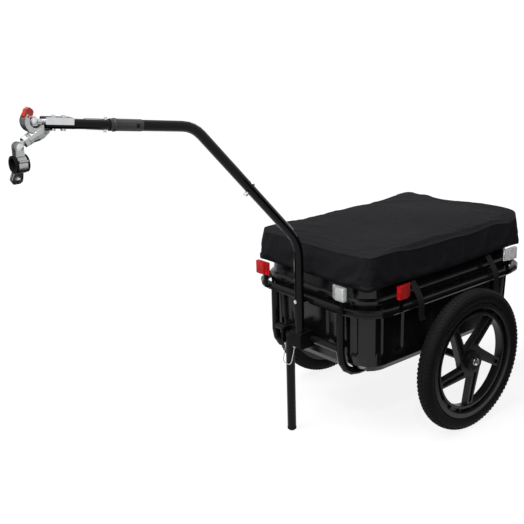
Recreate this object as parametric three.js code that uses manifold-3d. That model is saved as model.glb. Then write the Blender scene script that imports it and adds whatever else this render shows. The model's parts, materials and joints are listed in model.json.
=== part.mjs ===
// Bike cargo trailer with a seat-post drawbar, a lift-out tub and a fabric cover.
// Millimetres, +Z up, the drawbar runs towards -Y, and +X is the trailer's left side.
// The pieces are placed from the point on the ground under the middle of the axle.

import * as THREE from 'three';
import { mergeVertices } from 'three/addons/utils/BufferGeometryUtils.js';
import Module from 'manifold-3d';

const wasm = await Module();
wasm.setup();

// Driving dimensions
const tyreRadius = 203;
const tyreWidth = 46;
const wheelRailClearance = 21;
const railHeight = 396;
const railHalfWidth = 232;
const railHalfLength = 333;
const railLead = 12;
const railCornerRadius = 85;
const hoopHalfSpacing = 131;
const hoopHeight = 208.4;
const hoopBendRadius = 64;
const crossTubeHeight = 285;
const tubHeight = 324;
const drawbarLowBendHeight = 561;
const drawbarHighBendHeight = 903;
const drawbarForward = 316;
const armTilt = THREE.MathUtils.degToRad(8.1);

// Shared small sizes
const seatGap = 0.3;
const fitGap = 0.4;
const cutOverrun = 2;
const mergeTolerance = 1e-4;
const simplifyTolerance = 0.1;

// Frame tubes
const frameTubeRadius = 11;
const crossTubeRadius = 10;
const tubeSides = 12;
const boreSides = 8;
const roundSides = 12;
const seatSides = 16;
const fineSides = 16;
const bendSteps = 4;

const drawbarRadius = 12.7;
const drawbarOffset = 27;
const bossRadius = 8;
const boltRadius = 3;
const boltSides = 8;

// Places that several pieces share
const railFrontY = -railLead - railHalfLength;
const railRearY = -railLead + railHalfLength;
const axleHeight = tyreRadius;
const drawbarY = railFrontY - drawbarOffset;
const drawbarRearY = drawbarY + drawbarRadius;

const trailer = new THREE.Group();
const model = new THREE.Group();
trailer.add(model);

// Finishes
const finish = {
  blackPaint: { color: 0x1b1a1c, roughness: 0.35, metalness: 0.3 },
  tubPlastic: { color: 0x202023, roughness: 0.45, metalness: 0 },
  wheelPlastic: { color: 0x19191b, roughness: 0.5, metalness: 0 },
  blockPlastic: { color: 0x0f0f10, roughness: 0.6, metalness: 0 },
  hubPlastic: { color: 0x3a3a3d, roughness: 0.5, metalness: 0 },
  tyreRubber: { color: 0x232325, roughness: 0.85, metalness: 0 },
  bushRubber: { color: 0x121213, roughness: 0.7, metalness: 0 },
  zinc: { color: 0xc9cacc, roughness: 0.3, metalness: 0.9 },
  whiteLens: { color: 0xe8eaea, roughness: 0.2, metalness: 0 },
  redLens: { color: 0xd23b3e, roughness: 0.25, metalness: 0 },
  redPlastic: { color: 0xd8423f, roughness: 0.4, metalness: 0 },
  coverFabric: { color: 0x2a2a2c, roughness: 0.9, metalness: 0 },
  webbing: { color: 0x222224, roughness: 0.9, metalness: 0 },
};

// A closed geometry becomes a solid for joining and cutting.
function solidFrom(geometry) {
  const bare = geometry.clone();
  bare.deleteAttribute('normal');
  bare.deleteAttribute('uv');
  const merged = mergeVertices(bare, mergeTolerance);
  const corners = merged.index.array;
  const kept = [];
  for (let i = 0; i < corners.length; i += 3) {
    const [a, b, c] = corners.slice(i, i + 3);
    if (a !== b && b !== c && c !== a) kept.push(a, b, c);
  }
  return new wasm.Manifold(new wasm.Mesh({
    numProp: 3,
    vertProperties: new Float32Array(merged.attributes.position.array),
    triVerts: new Uint32Array(kept),
  }));
}

// A solid becomes a geometry for a mesh.
function geometryFrom(solid) {
  const mesh = solid.simplify(simplifyTolerance).getMesh();
  const geometry = new THREE.BufferGeometry();
  geometry.setAttribute('position', new THREE.BufferAttribute(mesh.vertProperties, 3));
  geometry.setIndex(new THREE.BufferAttribute(mesh.triVerts, 1));
  geometry.computeVertexNormals();
  return geometry;
}

function unite(...geometries) {
  return geometries.map(solidFrom).reduce((sum, next) => sum.add(next));
}

function cut(solid, ...geometries) {
  return geometries.map(solidFrom).reduce((rest, tool) => rest.subtract(tool), solid);
}

// Adds one named piece to a group and returns its mesh.
function addPiece(group, name, shape, look) {
  const geometry = geometryFrom(shape.isBufferGeometry ? solidFrom(shape) : shape);
  const mesh = new THREE.Mesh(geometry, new THREE.MeshStandardMaterial(look));
  mesh.name = name;
  group.add(mesh);
  return mesh;
}

// A box between two corners
function block(low, high) {
  const size = high.clone().sub(low);
  const middle = low.clone().add(high).multiplyScalar(0.5);
  return new THREE.BoxGeometry(size.x, size.y, size.z).translate(middle.x, middle.y, middle.z);
}

// A round bar between two points
function bar(from, to, radius, sides) {
  const axis = to.clone().sub(from);
  const geometry = new THREE.CylinderGeometry(radius, radius, axis.length(), sides);
  const upright = new THREE.Vector3(0, 1, 0);
  geometry.applyQuaternion(new THREE.Quaternion().setFromUnitVectors(upright, axis.normalize()));
  const middle = from.clone().add(to).multiplyScalar(0.5);
  return geometry.translate(middle.x, middle.y, middle.z);
}

// A turned profile of [radius, height] pairs, with its axis laid along a direction
function turned(profile, sides, direction) {
  const points = profile.map(([radius, height]) => new THREE.Vector2(radius, height));
  const geometry = new THREE.LatheGeometry(points, sides);
  const upright = new THREE.Vector3(0, 1, 0);
  return geometry.applyQuaternion(new THREE.Quaternion().setFromUnitVectors(upright, direction));
}

// A path of straight runs joined by arcs, with stations only where the tube bends
class BentPath extends THREE.Curve {
  constructor(corners, bendRadius, steps = bendSteps) {
    super();
    const run = (i) => corners[i + 1].clone().sub(corners[i]).normalize();
    this.points = [corners[0]];
    this.tangents = [run(0)];
    for (let i = 1; i < corners.length - 1; i += 1) {
      const into = run(i - 1);
      const turn = into.angleTo(run(i));
      const axis = into.clone().cross(run(i)).normalize();
      const setback = bendRadius * Math.tan(turn / 2);
      const start = corners[i].clone().addScaledVector(into, -setback);
      const toCentre = axis.clone().cross(into).multiplyScalar(bendRadius);
      for (let step = 0; step <= steps; step += 1) {
        const spin = new THREE.Quaternion().setFromAxisAngle(axis, (turn * step) / steps);
        const arm = toCentre.clone().negate().applyQuaternion(spin);
        this.points.push(start.clone().add(toCentre).add(arm));
        this.tangents.push(into.clone().applyQuaternion(spin));
      }
    }
    this.points.push(corners[corners.length - 1]);
    this.tangents.push(run(corners.length - 2));
  }

  between(list, t, target) {
    const place = t * (list.length - 1);
    const first = Math.min(Math.floor(place), list.length - 2);
    return target.copy(list[first]).lerp(list[first + 1], place - first);
  }

  getPoint(t, target = new THREE.Vector3()) {
    return this.between(this.points, t, target);
  }

  getTangent(t, target = new THREE.Vector3()) {
    return this.between(this.tangents, t, target).normalize();
  }

  getUtoTmapping(u) {
    return u;
  }
}

function circleShape(radius, sides = tubeSides) {
  const points = [];
  for (let i = 0; i < sides; i += 1) {
    const turn = ((i + 0.5) * 2 * Math.PI) / sides;
    points.push(new THREE.Vector2(radius * Math.cos(turn), radius * Math.sin(turn)));
  }
  return new THREE.Shape(points);
}

function pipeShape(radius, wall, sides = tubeSides) {
  const shape = circleShape(radius, sides);
  shape.holes.push(circleShape(radius - wall, boreSides));
  return shape;
}

function sweep(shape, path) {
  const steps = path.points.length - 1;
  return new THREE.ExtrudeGeometry(shape, { steps, extrudePath: path, curveSegments: 1 });
}

// A closed skin over rings of equal point counts, capped at both ends
function loft(rings) {
  const count = rings[0].length;
  const positions = rings.flat().flatMap((point) => point.toArray());
  const index = [];
  for (let ring = 0; ring < rings.length - 1; ring += 1) {
    for (let i = 0; i < count; i += 1) {
      const a = ring * count + i;
      const b = ring * count + ((i + 1) % count);
      index.push(a, b, b + count, a, b + count, a + count);
    }
  }
  const flat = (ring) => ring.map((point) => new THREE.Vector2(point.x, point.y));
  const last = (rings.length - 1) * count;
  for (const [a, b, c] of THREE.ShapeUtils.triangulateShape(flat(rings[0]), [])) {
    index.push(c, b, a);
  }
  for (const [a, b, c] of THREE.ShapeUtils.triangulateShape(flat(rings[rings.length - 1]), [])) {
    index.push(last + a, last + b, last + c);
  }
  const geometry = new THREE.BufferGeometry();
  geometry.setAttribute('position', new THREE.Float32BufferAttribute(positions, 3));
  geometry.setIndex(index);
  return geometry;
}

// A rounded rectangle around the rail's middle, as one ring of a loft
function roundedRing(halfWidth, halfLength, radius, height, cornerSteps) {
  const ring = [];
  for (let corner = 0; corner < 4; corner += 1) {
    const sideX = corner === 0 || corner === 3 ? 1 : -1;
    const sideY = corner < 2 ? 1 : -1;
    for (let step = 0; step <= cornerSteps; step += 1) {
      const turn = ((corner + step / cornerSteps) * Math.PI) / 2;
      ring.push(new THREE.Vector3(
        sideX * (halfWidth - radius) + radius * Math.cos(turn),
        sideY * (halfLength - radius) + radius * Math.sin(turn) - railLead,
        height,
      ));
    }
  }
  return ring;
}

const X = new THREE.Vector3(1, 0, 0);
const Y = new THREE.Vector3(0, 1, 0);
const Z = new THREE.Vector3(0, 0, 1);
const at = (x, y, z) => new THREE.Vector3(x, y, z);

// A shape drawn in side view, [y, z], pulled out along X to both sides of the middle
function sideProfile(shape, halfWidth, curveSegments = 6) {
  const depth = 2 * halfWidth;
  const geometry = new THREE.ExtrudeGeometry(shape, { depth, bevelEnabled: false, curveSegments });
  return facingX(geometry.translate(0, 0, -halfWidth));
}

// Turns a shape's x to Y, its y to Z and its depth to X
function facingX(geometry) {
  return geometry.applyMatrix4(new THREE.Matrix4().makeBasis(Y, Z, X));
}

// Turns a shape's x to X, its y to Z and its depth to -Y
function facingY(geometry) {
  return geometry.applyMatrix4(new THREE.Matrix4().makeBasis(X, Z, Y.clone().negate()));
}

// A slice of a ring between two angles
function ringSector(inner, outer, from, to) {
  const shape = new THREE.Shape();
  shape.absarc(0, 0, outer, from, to, false);
  shape.absarc(0, 0, inner, to, from, true);
  return shape;
}

const outline = (points) => new THREE.Shape(points.map(([u, v]) => new THREE.Vector2(u, v)));

// Reflectors and the tabs that carry them
const reflectorWidth = 54;
const reflectorTall = 42;
const reflectorDepth = 12;
const reflectorBevelRun = 19;
const reflectorBevelDrop = 7;
const reflectorEdge = 2;
const reflectorRise = 58;
const reflectorHeight = railHeight + reflectorRise;
const reflectorTabOffset = 15.5;
const rearTabOffset = 7.5;
const frontReflectorInset = 81;
const frontReflectorX = railHalfWidth - frontReflectorInset;
const rearReflectorInset = 120;
const rearReflectorX = railHalfWidth - rearReflectorInset;
const frontSideReflectorRun = 105;
const frontSideReflectorY = railFrontY + frontSideReflectorRun;
const rearSideReflectorRun = 113;
const rearSideReflectorY = railRearY - rearSideReflectorRun;
const tabWidth = 12;
const tabThickness = 3;

// The eight places: middle of the tab on the rail, outward direction, colour and bevel side
function reflectorPlaces() {
  const sideX = railHalfWidth + reflectorTabOffset;
  const places = [];
  for (const side of [1, -1]) {
    const hand = side > 0 ? 'left' : 'right';
    places.push({
      name: `reflector_front_${hand}`,
      base: at(side * frontReflectorX, railFrontY - reflectorTabOffset, railHeight),
      outward: at(0, -1, 0),
      mirrored: side < 0,
      look: side > 0 ? finish.whiteLens : finish.redLens,
    });
    places.push({
      name: `reflector_rear_${hand}`,
      base: at(side * rearReflectorX, railRearY + rearTabOffset, railHeight),
      outward: at(0, 1, 0),
      mirrored: side > 0,
      look: finish.redLens,
    });
    places.push({
      name: `reflector_side_front_${hand}`,
      base: at(side * sideX, frontSideReflectorY, railHeight),
      outward: at(side, 0, 0),
      mirrored: side > 0,
      look: finish.redLens,
    });
    places.push({
      name: `reflector_side_rear_${hand}`,
      base: at(side * sideX, rearSideReflectorY, railHeight),
      outward: at(side, 0, 0),
      mirrored: side < 0,
      look: finish.whiteLens,
    });
  }
  return places;
}

// Ring rail: a tube loop around the tub, made of two bent halves that meet at the middle
function ringRail() {
  const halves = [1, -1].map((side) => {
    const corners = [
      at(-side * cutOverrun, railFrontY, railHeight),
      at(side * railHalfWidth, railFrontY, railHeight),
      at(side * railHalfWidth, railRearY, railHeight),
      at(-side * cutOverrun, railRearY, railHeight),
    ];
    return sweep(circleShape(frameTubeRadius), new BentPath(corners, railCornerRadius));
  });
  const tabs = reflectorPlaces().flatMap(({ base, outward }) => {
    const across = outward.clone().cross(Z);
    const half = across.multiplyScalar(tabWidth / 2).add(outward.clone().multiplyScalar(tabThickness / 2));
    const side = at(Math.abs(half.x), Math.abs(half.y), 0);
    const foot = base.clone().addScaledVector(outward, -reflectorTabOffset);
    const low = base.clone().min(foot).sub(side).setZ(railHeight - tabThickness / 2);
    const high = base.clone().max(foot).add(side).setZ(railHeight + tabThickness / 2);
    const top = base.clone().add(side).setZ(reflectorHeight);
    return [block(base.clone().sub(side), top), block(low, high)];
  });
  const boss = bar(at(0, railFrontY, railHeight), at(0, drawbarRearY + seatGap, railHeight), bossRadius, tubeSides);
  const boltHole = bar(
    at(0, drawbarRearY - cutOverrun, railHeight),
    at(0, railFrontY + boltRadius, railHeight),
    boltRadius + seatGap,
    boltSides,
  );
  return cut(unite(...halves, ...tabs, boss), boltHole);
}

// A lens block with one bevelled end, seated on its tab
function reflector({ outward, mirrored }) {
  const half = reflectorWidth / 2;
  const shape = new THREE.Shape([
    new THREE.Vector2(-half, 0),
    new THREE.Vector2(half, 0),
    new THREE.Vector2(half, reflectorDepth - reflectorBevelDrop),
    new THREE.Vector2(half - reflectorBevelRun, reflectorDepth),
    new THREE.Vector2(-half + reflectorEdge, reflectorDepth),
    new THREE.Vector2(-half, reflectorDepth - reflectorEdge),
  ]);
  const geometry = new THREE.ExtrudeGeometry(shape, { depth: reflectorTall, bevelEnabled: false });
  geometry.translate(0, tabThickness / 2 + seatGap, -reflectorTall / 2);
  if (mirrored) geometry.rotateX(Math.PI);
  if (mirrored) geometry.rotateZ(Math.PI);
  return geometry.rotateZ(Math.atan2(-outward.x, outward.y));
}

// U hoops: posts down from the rail, bent back under the tub and up to the rail again
function hoop() {
  const corners = [
    at(0, railFrontY, railHeight),
    at(0, railFrontY, hoopHeight),
    at(0, railRearY, hoopHeight),
    at(0, railRearY, railHeight),
  ];
  const tube = solidFrom(sweep(circleShape(frameTubeRadius), new BentPath(corners, hoopBendRadius)));
  const saddle = frameTubeRadius + seatGap;
  const across = (y, z) => bar(at(-hoopBendRadius, y, z), at(hoopBendRadius, y, z), saddle, seatSides);
  return cut(
    tube,
    across(railFrontY, railHeight),
    across(railRearY, railHeight),
    across(0, axleHeight),
  );
}

// Cross tubes between the posts, with saddle ends
function crossTube(y) {
  const end = at(hoopHalfSpacing, y, crossTubeHeight);
  const tube = solidFrom(bar(end.clone().setX(-end.x), end, crossTubeRadius, tubeSides));
  const post = (x) => bar(
    at(x, y, crossTubeHeight - frameTubeRadius - crossTubeRadius),
    at(x, y, crossTubeHeight + frameTubeRadius + crossTubeRadius),
    frameTubeRadius + seatGap,
    seatSides,
  );
  return cut(tube, post(end.x), post(-end.x));
}

// Axle tube and the spindles that carry the wheels
const spindleRadius = 6;
const spindleInset = 40;
const hubHalfInner = 22;
const hubEndGap = 3;
const wheelHalfTrack = railHalfWidth + frameTubeRadius + wheelRailClearance + tyreWidth / 2;
const axleTubeHalf = wheelHalfTrack - hubHalfInner - hubEndGap;
const hubFaceOut = 14;
const hubCapThickness = 7;
const nutLength = 9;
const nutRadius = 10;
const washerRadius = 11.5;
const washerThickness = 1.6;

function axleTube() {
  const pipe = bar(at(-axleTubeHalf, 0, axleHeight), at(axleTubeHalf, 0, axleHeight), frameTubeRadius, tubeSides);
  const bore = spindleRadius + fitGap / 2;
  const holes = [1, -1].map((side) => bar(
    at(side * (axleTubeHalf - spindleInset), 0, axleHeight),
    at(side * (axleTubeHalf + cutOverrun), 0, axleHeight),
    bore,
    tubeSides,
  ));
  return cut(solidFrom(pipe), ...holes);
}

// Spindle, washer and dome nut, from the axle tube outwards
function spindle() {
  const start = axleTubeHalf - spindleInset + seatGap;
  const face = wheelHalfTrack + hubFaceOut + hubCapThickness + fitGap;
  const nutStart = face + washerThickness;
  const domeRise = nutRadius - spindleRadius;
  return turned([
    [0, start],
    [spindleRadius, start],
    [spindleRadius, face],
    [washerRadius, face],
    [washerRadius, nutStart],
    [nutRadius, nutStart],
    [nutRadius, nutStart + nutLength - domeRise],
    [spindleRadius, nutStart + nutLength],
    [0, nutStart + nutLength],
  ], tubeSides, X);
}

// Wheels: a moulded five-spoke wheel with a tyre, a bearing and a hub cap
const rimFlangeRadius = 165;
const rimFlangeHalf = 18;
const rimFlangeWall = 3;
const rimWellRadius = 156;
const rimShoulderRadius = 151;
const rimWebHalf = 4;
const rimInnerRadius = 132;
const rimInnerWall = 7;
const rimInnerHalf = 13;
const wheelSides = 24;
const spokeCount = 5;
const spokeOffset = 27;
const spokeHubHalf = 16;
const spokeRimHalf = 11;
const spokeHalfDepth = 10;
const spokePocketDepth = 6;
const spokePocketHalf = 6;
const spokePocketStart = 40;
const spokePocketEnd = 118;
const hubDiscRadius = 47;
const hubRadius = 28;
const bearingRadius = 15;
const bearingWidth = 10;
const gussetCount = 10;
const gussetHalf = 1.5;
const firstSpokeTurn = THREE.MathUtils.degToRad(40.5);
const spokeLap = 3;

// Wheel rim: a deep channel for the tyre on an inner ring, with gussets between them
function wheelRim() {
  const ringOuter = rimInnerRadius + rimInnerWall;
  const rimSection = [
    [rimInnerRadius, -rimInnerHalf],
    [rimInnerRadius, rimInnerHalf],
    [ringOuter, rimInnerHalf],
    [ringOuter, rimWebHalf],
    [rimShoulderRadius, rimWebHalf],
    [rimShoulderRadius, rimFlangeHalf],
    [rimFlangeRadius, rimFlangeHalf],
    [rimFlangeRadius, rimFlangeHalf - rimFlangeWall],
    [rimWellRadius, rimFlangeHalf - rimFlangeWall],
  ];
  const mirrored = rimSection.slice(3).reverse().map(([radius, height]) => [radius, -height]);
  const section = [...rimSection, ...mirrored, [ringOuter, -rimInnerHalf], rimSection[0]];
  const rim = turned(section.reverse(), wheelSides, X);
  const gussets = [];
  for (let i = 0; i < gussetCount; i += 1) {
    const gusset = block(
      at(-rimInnerHalf + rimWebHalf / 2, -gussetHalf, ringOuter - spokeLap),
      at(rimInnerHalf - rimWebHalf / 2, gussetHalf, rimShoulderRadius + spokeLap),
    );
    gussets.push(gusset.rotateX((i * 2 * Math.PI) / gussetCount));
  }
  return unite(rim, ...gussets);
}

// Wheel centre: a hub on a disc with five skewed spokes that end at the rim's inner ring
function wheelCentre() {
  const disc = bar(at(-spokeHalfDepth, 0, 0), at(spokeHalfDepth, 0, 0), hubDiscRadius, wheelSides / 2);
  const hub = bar(at(-hubHalfInner, 0, 0), at(hubFaceOut, 0, 0), hubRadius, wheelSides / 2);
  const spokes = [];
  const pockets = [];
  for (let i = 0; i < spokeCount; i += 1) {
    const turn = firstSpokeTurn + (i * 2 * Math.PI) / spokeCount;
    const arm = new THREE.Shape([
      new THREE.Vector2(hubRadius / 2, spokeOffset - spokeHubHalf),
      new THREE.Vector2(rimInnerRadius, spokeOffset - spokeRimHalf),
      new THREE.Vector2(rimInnerRadius, spokeOffset + spokeRimHalf),
      new THREE.Vector2(hubRadius / 2, spokeOffset + spokeHubHalf),
    ]);
    const spoke = new THREE.ExtrudeGeometry(arm, { depth: 2 * spokeHalfDepth, bevelEnabled: false });
    spokes.push(facingX(spoke.translate(0, 0, -spokeHalfDepth)).rotateX(turn));
    for (const face of [-1, 1]) {
      const pocket = new THREE.Shape();
      pocket.absarc(spokePocketStart, spokeOffset, spokePocketHalf, Math.PI / 2, 1.5 * Math.PI);
      pocket.absarc(spokePocketEnd, spokeOffset, spokePocketHalf, -Math.PI / 2, Math.PI / 2);
      const tool = new THREE.ExtrudeGeometry(pocket, {
        depth: spokePocketDepth + cutOverrun,
        bevelEnabled: false,
        curveSegments: 2,
      });
      const start = face > 0 ? spokeHalfDepth - spokePocketDepth : -spokeHalfDepth - cutOverrun;
      pockets.push(facingX(tool.translate(0, 0, start)).rotateX(turn));
    }
  }
  const reach = spokeHalfDepth + cutOverrun;
  const rimSeat = turned([
    [rimInnerRadius - seatGap, -reach],
    [rimFlangeRadius, -reach],
    [rimFlangeRadius, reach],
    [rimInnerRadius - seatGap, reach],
    [rimInnerRadius - seatGap, -reach],
  ], wheelSides, X);
  const bearingSeat = hubFaceOut - bearingWidth;
  return cut(
    unite(disc, hub, ...spokes),
    rimSeat,
    ...pockets,
    bar(at(-hubHalfInner - cutOverrun, 0, 0), at(hubFaceOut + cutOverrun, 0, 0), spindleRadius + fitGap, roundSides),
    bar(at(bearingSeat - seatGap, 0, 0), at(hubFaceOut + cutOverrun, 0, 0), bearingRadius, roundSides),
  );
}

// Share of the tyre's height and of its half width, from the rim to the tread
const tyreSectionShares = [[0.45, 1], [0.8, 0.86], [0.95, 0.55]];

function tyre() {
  const half = tyreWidth / 2;
  const bead = rimFlangeHalf - rimFlangeWall - seatGap;
  const wall = tyreRadius - rimFlangeRadius;
  const side = [
    [rimWellRadius + seatGap, bead],
    [rimFlangeRadius + seatGap, bead],
    ...tyreSectionShares.map(([high, wide]) => [rimFlangeRadius + wall * high, half * wide]),
  ];
  const other = side.slice().reverse().map(([radius, height]) => [radius, -height]);
  const section = [...side, [tyreRadius, 0], ...other];
  return turned([...section, section[0]].reverse(), wheelSides, X);
}

function bearing() {
  const start = hubFaceOut - bearingWidth;
  const inner = spindleRadius + seatGap;
  const outer = bearingRadius - seatGap;
  return turned([
    [inner, start], [outer, start], [outer, hubFaceOut], [inner, hubFaceOut], [inner, start],
  ], roundSides, X);
}

const hubCapRim = 3;
const hubCapBevel = 4;

function hubCap() {
  const inner = spindleRadius + fitGap;
  const start = hubFaceOut + seatGap;
  const end = hubFaceOut + hubCapThickness;
  const recess = washerRadius + hubCapRim;
  return turned([
    [inner, start],
    [hubRadius, start],
    [hubRadius, end - hubCapBevel],
    [hubRadius - hubCapBevel, end],
    [recess, end],
    [recess - hubCapRim, end],
    [inner, end],
    [inner, start],
  ], wheelSides / 2, X);
}

function addWheel(side) {
  const hand = side > 0 ? 'left' : 'right';
  const wheel = new THREE.Group();
  wheel.position.set(side * wheelHalfTrack, 0, axleHeight);
  wheel.scale.x = side;
  addPiece(wheel, `wheel_${hand}`, wheelRim(), finish.wheelPlastic);
  addPiece(wheel, `spokes_${hand}`, wheelCentre(), finish.wheelPlastic);
  addPiece(wheel, `tyre_${hand}`, tyre(), finish.tyreRubber);
  addPiece(wheel, `bearing_${hand}`, bearing(), finish.zinc);
  addPiece(wheel, `hub_cap_${hand}`, hubCap(), finish.hubPlastic);
  model.add(wheel);
}

function addFrame() {
  addPiece(model, 'ring_rail', ringRail(), finish.blackPaint);
  for (const side of [1, -1]) {
    const hand = side > 0 ? 'left' : 'right';
    addPiece(model, `hoop_${hand}`, hoop(), finish.blackPaint).position.x = side * hoopHalfSpacing;
    const axle = addPiece(model, `spindle_${hand}`, spindle(), finish.zinc);
    axle.position.z = axleHeight;
    axle.scale.x = side;
  }
  addPiece(model, 'cross_tube_front', crossTube(railFrontY), finish.blackPaint);
  addPiece(model, 'cross_tube_rear', crossTube(railRearY), finish.blackPaint);
  addPiece(model, 'axle_tube', axleTube(), finish.blackPaint);
  for (const place of reflectorPlaces()) {
    const lens = addPiece(model, place.name, reflector(place), place.look);
    lens.position.copy(place.base).setZ(reflectorHeight);
  }
}

// Tub: a moulded box with fluted walls, a ledge above the rail and a narrower collar
const tubWall = 3.2;
const tubRailClearance = 8;
const tubTopHalfWidth = railHalfWidth - frameTubeRadius - tubRailClearance;
const tubDraft = 6;
const tubEndClearance = 4;
const tubCornerRadius = 72;
const tubBottomEdge = 20;
const tubLedgeHeight = 425;
const tubLedgeRise = 6;
const tubLedgeInset = 8;
const fluteDepth = 4.5;
const fluteStartHeight = 268;
const fluteFade = 9;
const fluteTopGap = 9;
const tubRimRoll = 2.5;
const tubRimHeight = 9;
const collarLean = 13;

// Around a quarter of the outline: share of the way along and share of the flute depth
const frontFluteShares = [
  [0.27, 0], [0.3, 1], [0.38, 1], [0.41, 0], [0.46, 0], [0.49, 1], [0.58, 1], [0.61, 0],
];
const sideFluteShares = [
  [0.14, 0], [0.16, 1], [0.23, 1], [0.26, 0], [0.72, 0], [0.745, 1], [0.83, 1], [0.855, 0],
];
const cornerFluteShares = [
  [0, 0], [0.09, 0], [0.13, 1], [0.25, 1], [0.3, 0], [0.5, 0], [0.7, 0],
  [0.75, 1], [0.87, 1], [0.91, 0], [1, 0],
];
const tubBottomRises = [0, 5, 20, 44];
const hoopRecessRise = 44;
const hoopRecessStartShare = 0.49;
const hoopRecessCornerShare = 0.7;
const tubFloor = hoopHeight + frameTubeRadius + seatGap;
const tubTop = tubFloor + tubHeight;
const railStretch = railHalfLength - railHalfWidth;

// Half the tub's width at a height, with its draft
function tubHalfWidth(height) {
  return tubTopHalfWidth - (tubDraft * (tubLedgeHeight - height)) / (tubLedgeHeight - tubFloor);
}

// How far a rounded lower edge has drawn in at a rise above the floor
function edgeInset(radius, rise) {
  return rise < radius ? radius - Math.sqrt(radius ** 2 - (radius - rise) ** 2) : 0;
}

// One ring of the tub; its flutes are cut to the given depth, and its ends to a recess for the hoops
function flutedRing(halfWidth, radius, height, depth, recess = 0) {
  const halfLength = halfWidth + railStretch + tubEndClearance;
  const quarter = [];
  for (const [along, deep] of sideFluteShares) {
    quarter.push([halfWidth - deep * depth, along * (halfLength - radius)]);
  }
  for (const [along, deep] of cornerFluteShares) {
    const turn = (along * Math.PI) / 2;
    const reach = radius - deep * depth;
    quarter.push([
      halfWidth - radius + reach * Math.cos(turn),
      halfLength - radius + reach * Math.sin(turn) - (along >= hoopRecessCornerShare ? recess : 0),
    ]);
  }
  for (const [along, deep] of frontFluteShares.slice().reverse()) {
    const drop = along >= hoopRecessStartShare ? recess : 0;
    quarter.push([along * halfWidth, halfLength - deep * depth - drop]);
  }
  const back = quarter.slice().reverse();
  return [
    ...quarter.map(([x, y]) => at(x, y - railLead, height)),
    ...back.map(([x, y]) => at(-x, y - railLead, height)),
    ...quarter.map(([x, y]) => at(-x, -y - railLead, height)),
    ...back.map(([x, y]) => at(x, -y - railLead, height)),
  ];
}

function tub() {
  const rings = [];
  const wallRing = (height, depth, inset = 0) => {
    rings.push(flutedRing(tubHalfWidth(height) - inset, tubCornerRadius - inset, height, depth));
  };
  const floorCurve = (inset, lift) => tubBottomRises.map((rise) => {
    const height = tubFloor + lift + rise * (1 - lift / hoopRecessRise);
    const drawn = edgeInset(tubBottomEdge, rise);
    return flutedRing(
      tubHalfWidth(height) - inset - drawn,
      tubCornerRadius - inset - drawn,
      height,
      0,
      edgeInset(hoopRecessRise, rise) - drawn,
    );
  });
  rings.push(...floorCurve(0, 0));
  wallRing(fluteStartHeight, 0);
  wallRing(fluteStartHeight + fluteFade, fluteDepth);
  wallRing(tubLedgeHeight - fluteTopGap - fluteFade / 2, fluteDepth);
  wallRing(tubLedgeHeight - fluteTopGap, 0);
  wallRing(tubLedgeHeight, 0);
  const collar = tubTopHalfWidth - tubLedgeInset;
  const collarRadius = tubCornerRadius - tubLedgeInset;
  const collarRing = (height, inset) => {
    rings.push(flutedRing(collar - inset, collarRadius - inset, height, 0));
  };
  collarRing(tubLedgeHeight + tubLedgeRise, 0);
  collarRing(tubTop - tubRimHeight, collarLean);
  collarRing(tubTop - tubRimHeight + tubRimRoll, collarLean - tubRimRoll);
  collarRing(tubTop, collarLean - tubRimRoll);
  collarRing(tubTop, collarLean + tubWall);
  collarRing(tubLedgeHeight + tubLedgeRise, tubWall);
  const inner = fluteDepth + tubWall;
  wallRing(tubLedgeHeight - fluteTopGap, 0, inner);
  return loft([...rings, ...floorCurve(inner, tubWall).reverse()]);
}

// Cover: a crowned fabric top with a skirt that hangs over the tub's collar
const coverFabric = 3;
const coverCrown = 22;
const coverHemRise = 30;
const coverHemHeight = tubLedgeHeight + coverHemRise;
const coverFlare = 3.5;
const coverCornerRadius = 26;
const coverCornerSteps = 3;
const coverEdge = 3;
const coverCrownShares = [0.2, 0.5, 0.75, 0.9];
const coverShoulder = collarLean - seatGap;
const coverShoulderDrop = 9;
const coverHalfWidth = tubTopHalfWidth - tubLedgeInset + tubRimRoll + seatGap + coverFabric;
const coverTop = tubTop + seatGap + coverFabric;
const coverSeamHeight = coverTop - coverShoulderDrop;

function cover() {
  const halfLength = coverHalfWidth + railStretch + tubEndClearance;
  const ring = (inset, height) => roundedRing(
    coverHalfWidth - inset,
    halfLength - inset,
    coverCornerRadius - inset,
    height,
    coverCornerSteps,
  );
  const crownRing = (share, drop, inset) => roundedRing(
    (coverHalfWidth - inset) * (1 - share),
    (halfLength - inset) * (1 - share),
    (coverCornerRadius - inset) * (1 - share),
    coverTop + coverCrown * (1 - (1 - share) ** 2) - drop,
    coverCornerSteps,
  );
  const innerShoulder = coverFabric + coverShoulder;
  const innerCrown = coverCrownShares.map((share) => crownRing(share, coverFabric, innerShoulder));
  return loft([
    ...innerCrown.reverse(),
    ring(innerShoulder, coverTop - coverFabric),
    ring(coverFabric, coverSeamHeight - coverFabric),
    ring(coverFabric - coverFlare, coverHemHeight),
    ring(-coverFlare, coverHemHeight),
    ring(0, coverSeamHeight - coverEdge),
    ring(coverEdge, coverSeamHeight),
    ring(coverShoulder, coverTop),
    ...coverCrownShares.map((share) => crownRing(share, 0, coverShoulder)),
  ]);
}

// Straps that hang from the hem and loop round the rail
const strapWidth = 24;
const strapThickness = 1.6;
const strapBendRadius = 9;
const strapBendSteps = 2;
const strapDrop = 49;
const strapTailRise = 6;
const strapShoulder = 24;
const frontStrapY = -157;
const rearStrapY = 163;

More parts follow.
